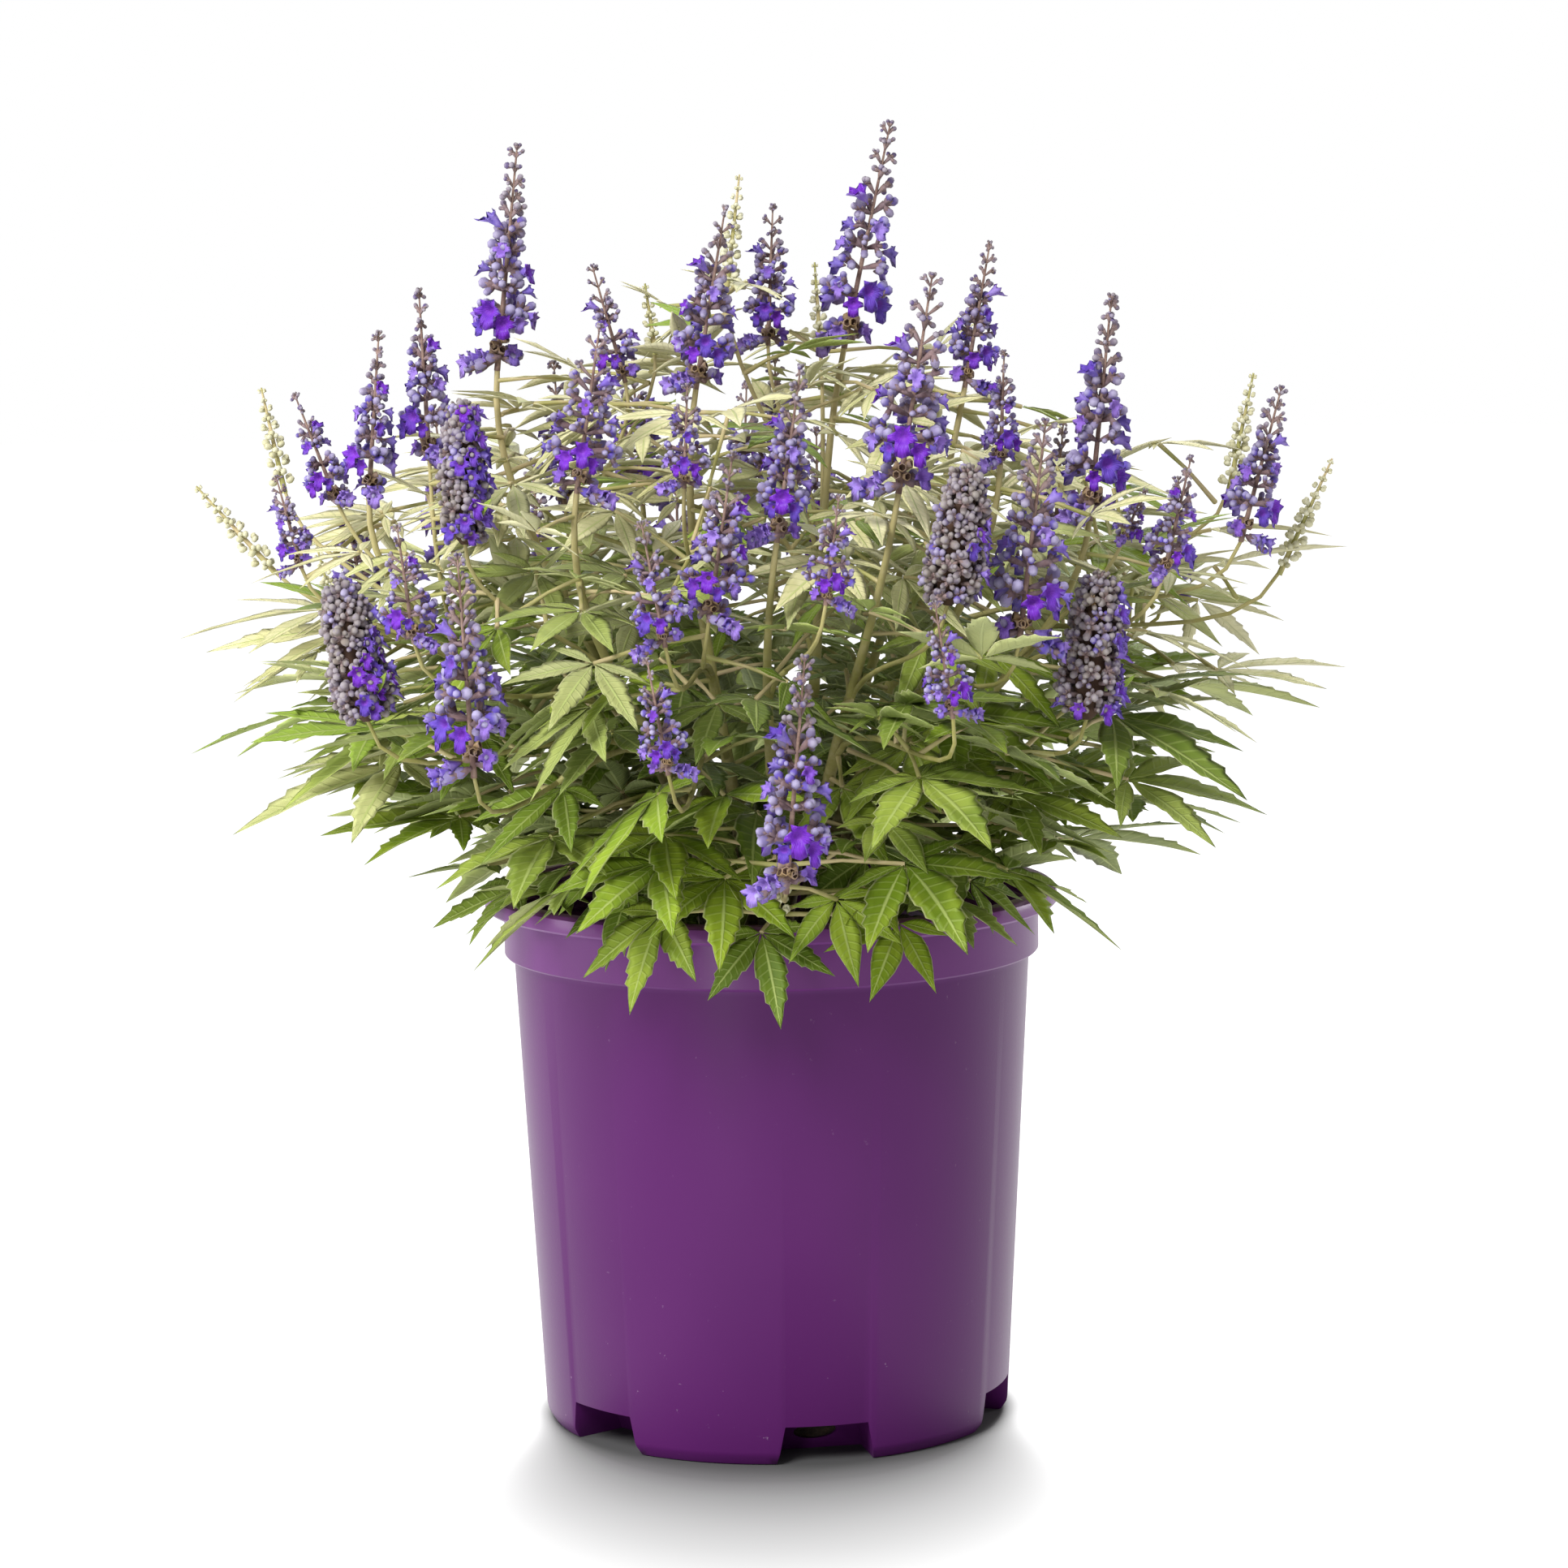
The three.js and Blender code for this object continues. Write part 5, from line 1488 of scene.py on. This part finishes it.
bud_finish = Finish("downy_buds", 0.75, Specular_IOR_Level=0.15)
bud_far = bud_finish.one_way(bud_finish.on_copy(), "Y")
bud_chance = bud_finish.attribute("chance")
bud_pale = bud_finish.attribute("pale")
down = bud_finish.noise(520.0, 3.0, 0.65)
lilac = blend(bud_chance.between(0.1, 0.9), (0.150, 0.118, 0.300), (0.270, 0.228, 0.420))
lilac = blend((1 - bud_chance).between(0.72, 0.8), lilac, (0.130, 0.085, 0.480))
grey = blend(bud_chance, (0.105, 0.084, 0.070), (0.240, 0.202, 0.172))
lilac = blend(bud_pale, lilac, grey)
# Each bud is lighter towards its tip: partly a paler tip, and partly a painted highlight.
tip = blend(bud_pale, (0.430, 0.395, 0.610), (0.325, 0.295, 0.268))
lilac = blend(bud_far.between(0.55, 0.97) * 0.7, lilac, tip)
bud_finish.put("Base Color", blend(down.between(0.5, 0.7) * 0.35, lilac, (0.180, 0.140, 0.270)))
bud_finish.put("Roughness", down * 0.2 + 0.62)
bud_finish.bump(down, 0.0004, 0.6)

calyx_finish = Finish("mauve_brown_calyces", 0.8)
calyx_noise = calyx_finish.noise(260.0, 3.0, 0.6)
calyx_chance = calyx_finish.attribute("chance")
calyx_pale = calyx_finish.attribute("pale")
brown = blend(calyx_chance, (0.105, 0.058, 0.066), (0.205, 0.128, 0.128))
brown = blend(calyx_pale.between(0.3, 0.6) * 0.7, brown, (0.240, 0.170, 0.150))
brown = blend(calyx_pale > 0.99, brown, (0.300, 0.200, 0.095))
brown = blend(calyx_noise.between(0.4, 0.65) * 0.5, brown, (0.290, 0.215, 0.245))
calyx_finish.put("Base Color", brown)
calyx_finish.bump(calyx_noise, 0.0004, 0.6)

# Near-black painted shade: inside the empty cups, and on each cone's core, where it stands for the shade
# between the buds.
cup_shade_finish = Finish("painted_shade_cups_and_cores", 0.85)
cup_shade_noise = cup_shade_finish.noise(300.0)
cup_shade_finish.put("Base Color", blend(cup_shade_noise, (0.022, 0.010, 0.006), (0.090, 0.042, 0.020)))

rachis_finish = Finish("brown_rachis", 0.75)
rachis_noise = rachis_finish.noise(240.0, 3.0, 0.6)
rachis_finish.put(
    "Base Color",
    blend(rachis_noise.between(0.35, 0.65), (0.150, 0.085, 0.070), (0.270, 0.180, 0.140)),
)
rachis_finish.bump(rachis_noise, 0.0005, 0.6)

spike_finishes = [
    petal_finish.material,
    back_finish.material,
    bud_finish.material,
    calyx_finish.material,
    cup_shade_finish.material,
    leaf_top,
]
spike_places = []
for leafy_stem in leafy_stems:
    spike_places += [(place, "panicle") for place in leafy_stem.plan["flowers"]]
    spike_places += [(place, "cone") for place in leafy_stem.plan["cones"]]
for number, (place, form) in enumerate(spike_places, 1):
    spike = Spike(place, form)
    route = spike.panicle() if form == "panicle" else spike.cone()
    tufts = spike.gathering.mesh_object(f"flower_spike_fine_{number:02d}", spike_finishes)
    # A cone's thick core takes the painted shade finish, for the dark between its buds.
    wood = rachis_finish.material if form == "panicle" else cup_shade_finish.material
    rachis = rods("rachis", [route], 6, wood)
    piece = one_of([tufts, rachis])
    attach(piece, "root")
    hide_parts(f"flower_spike_{number:02d}")
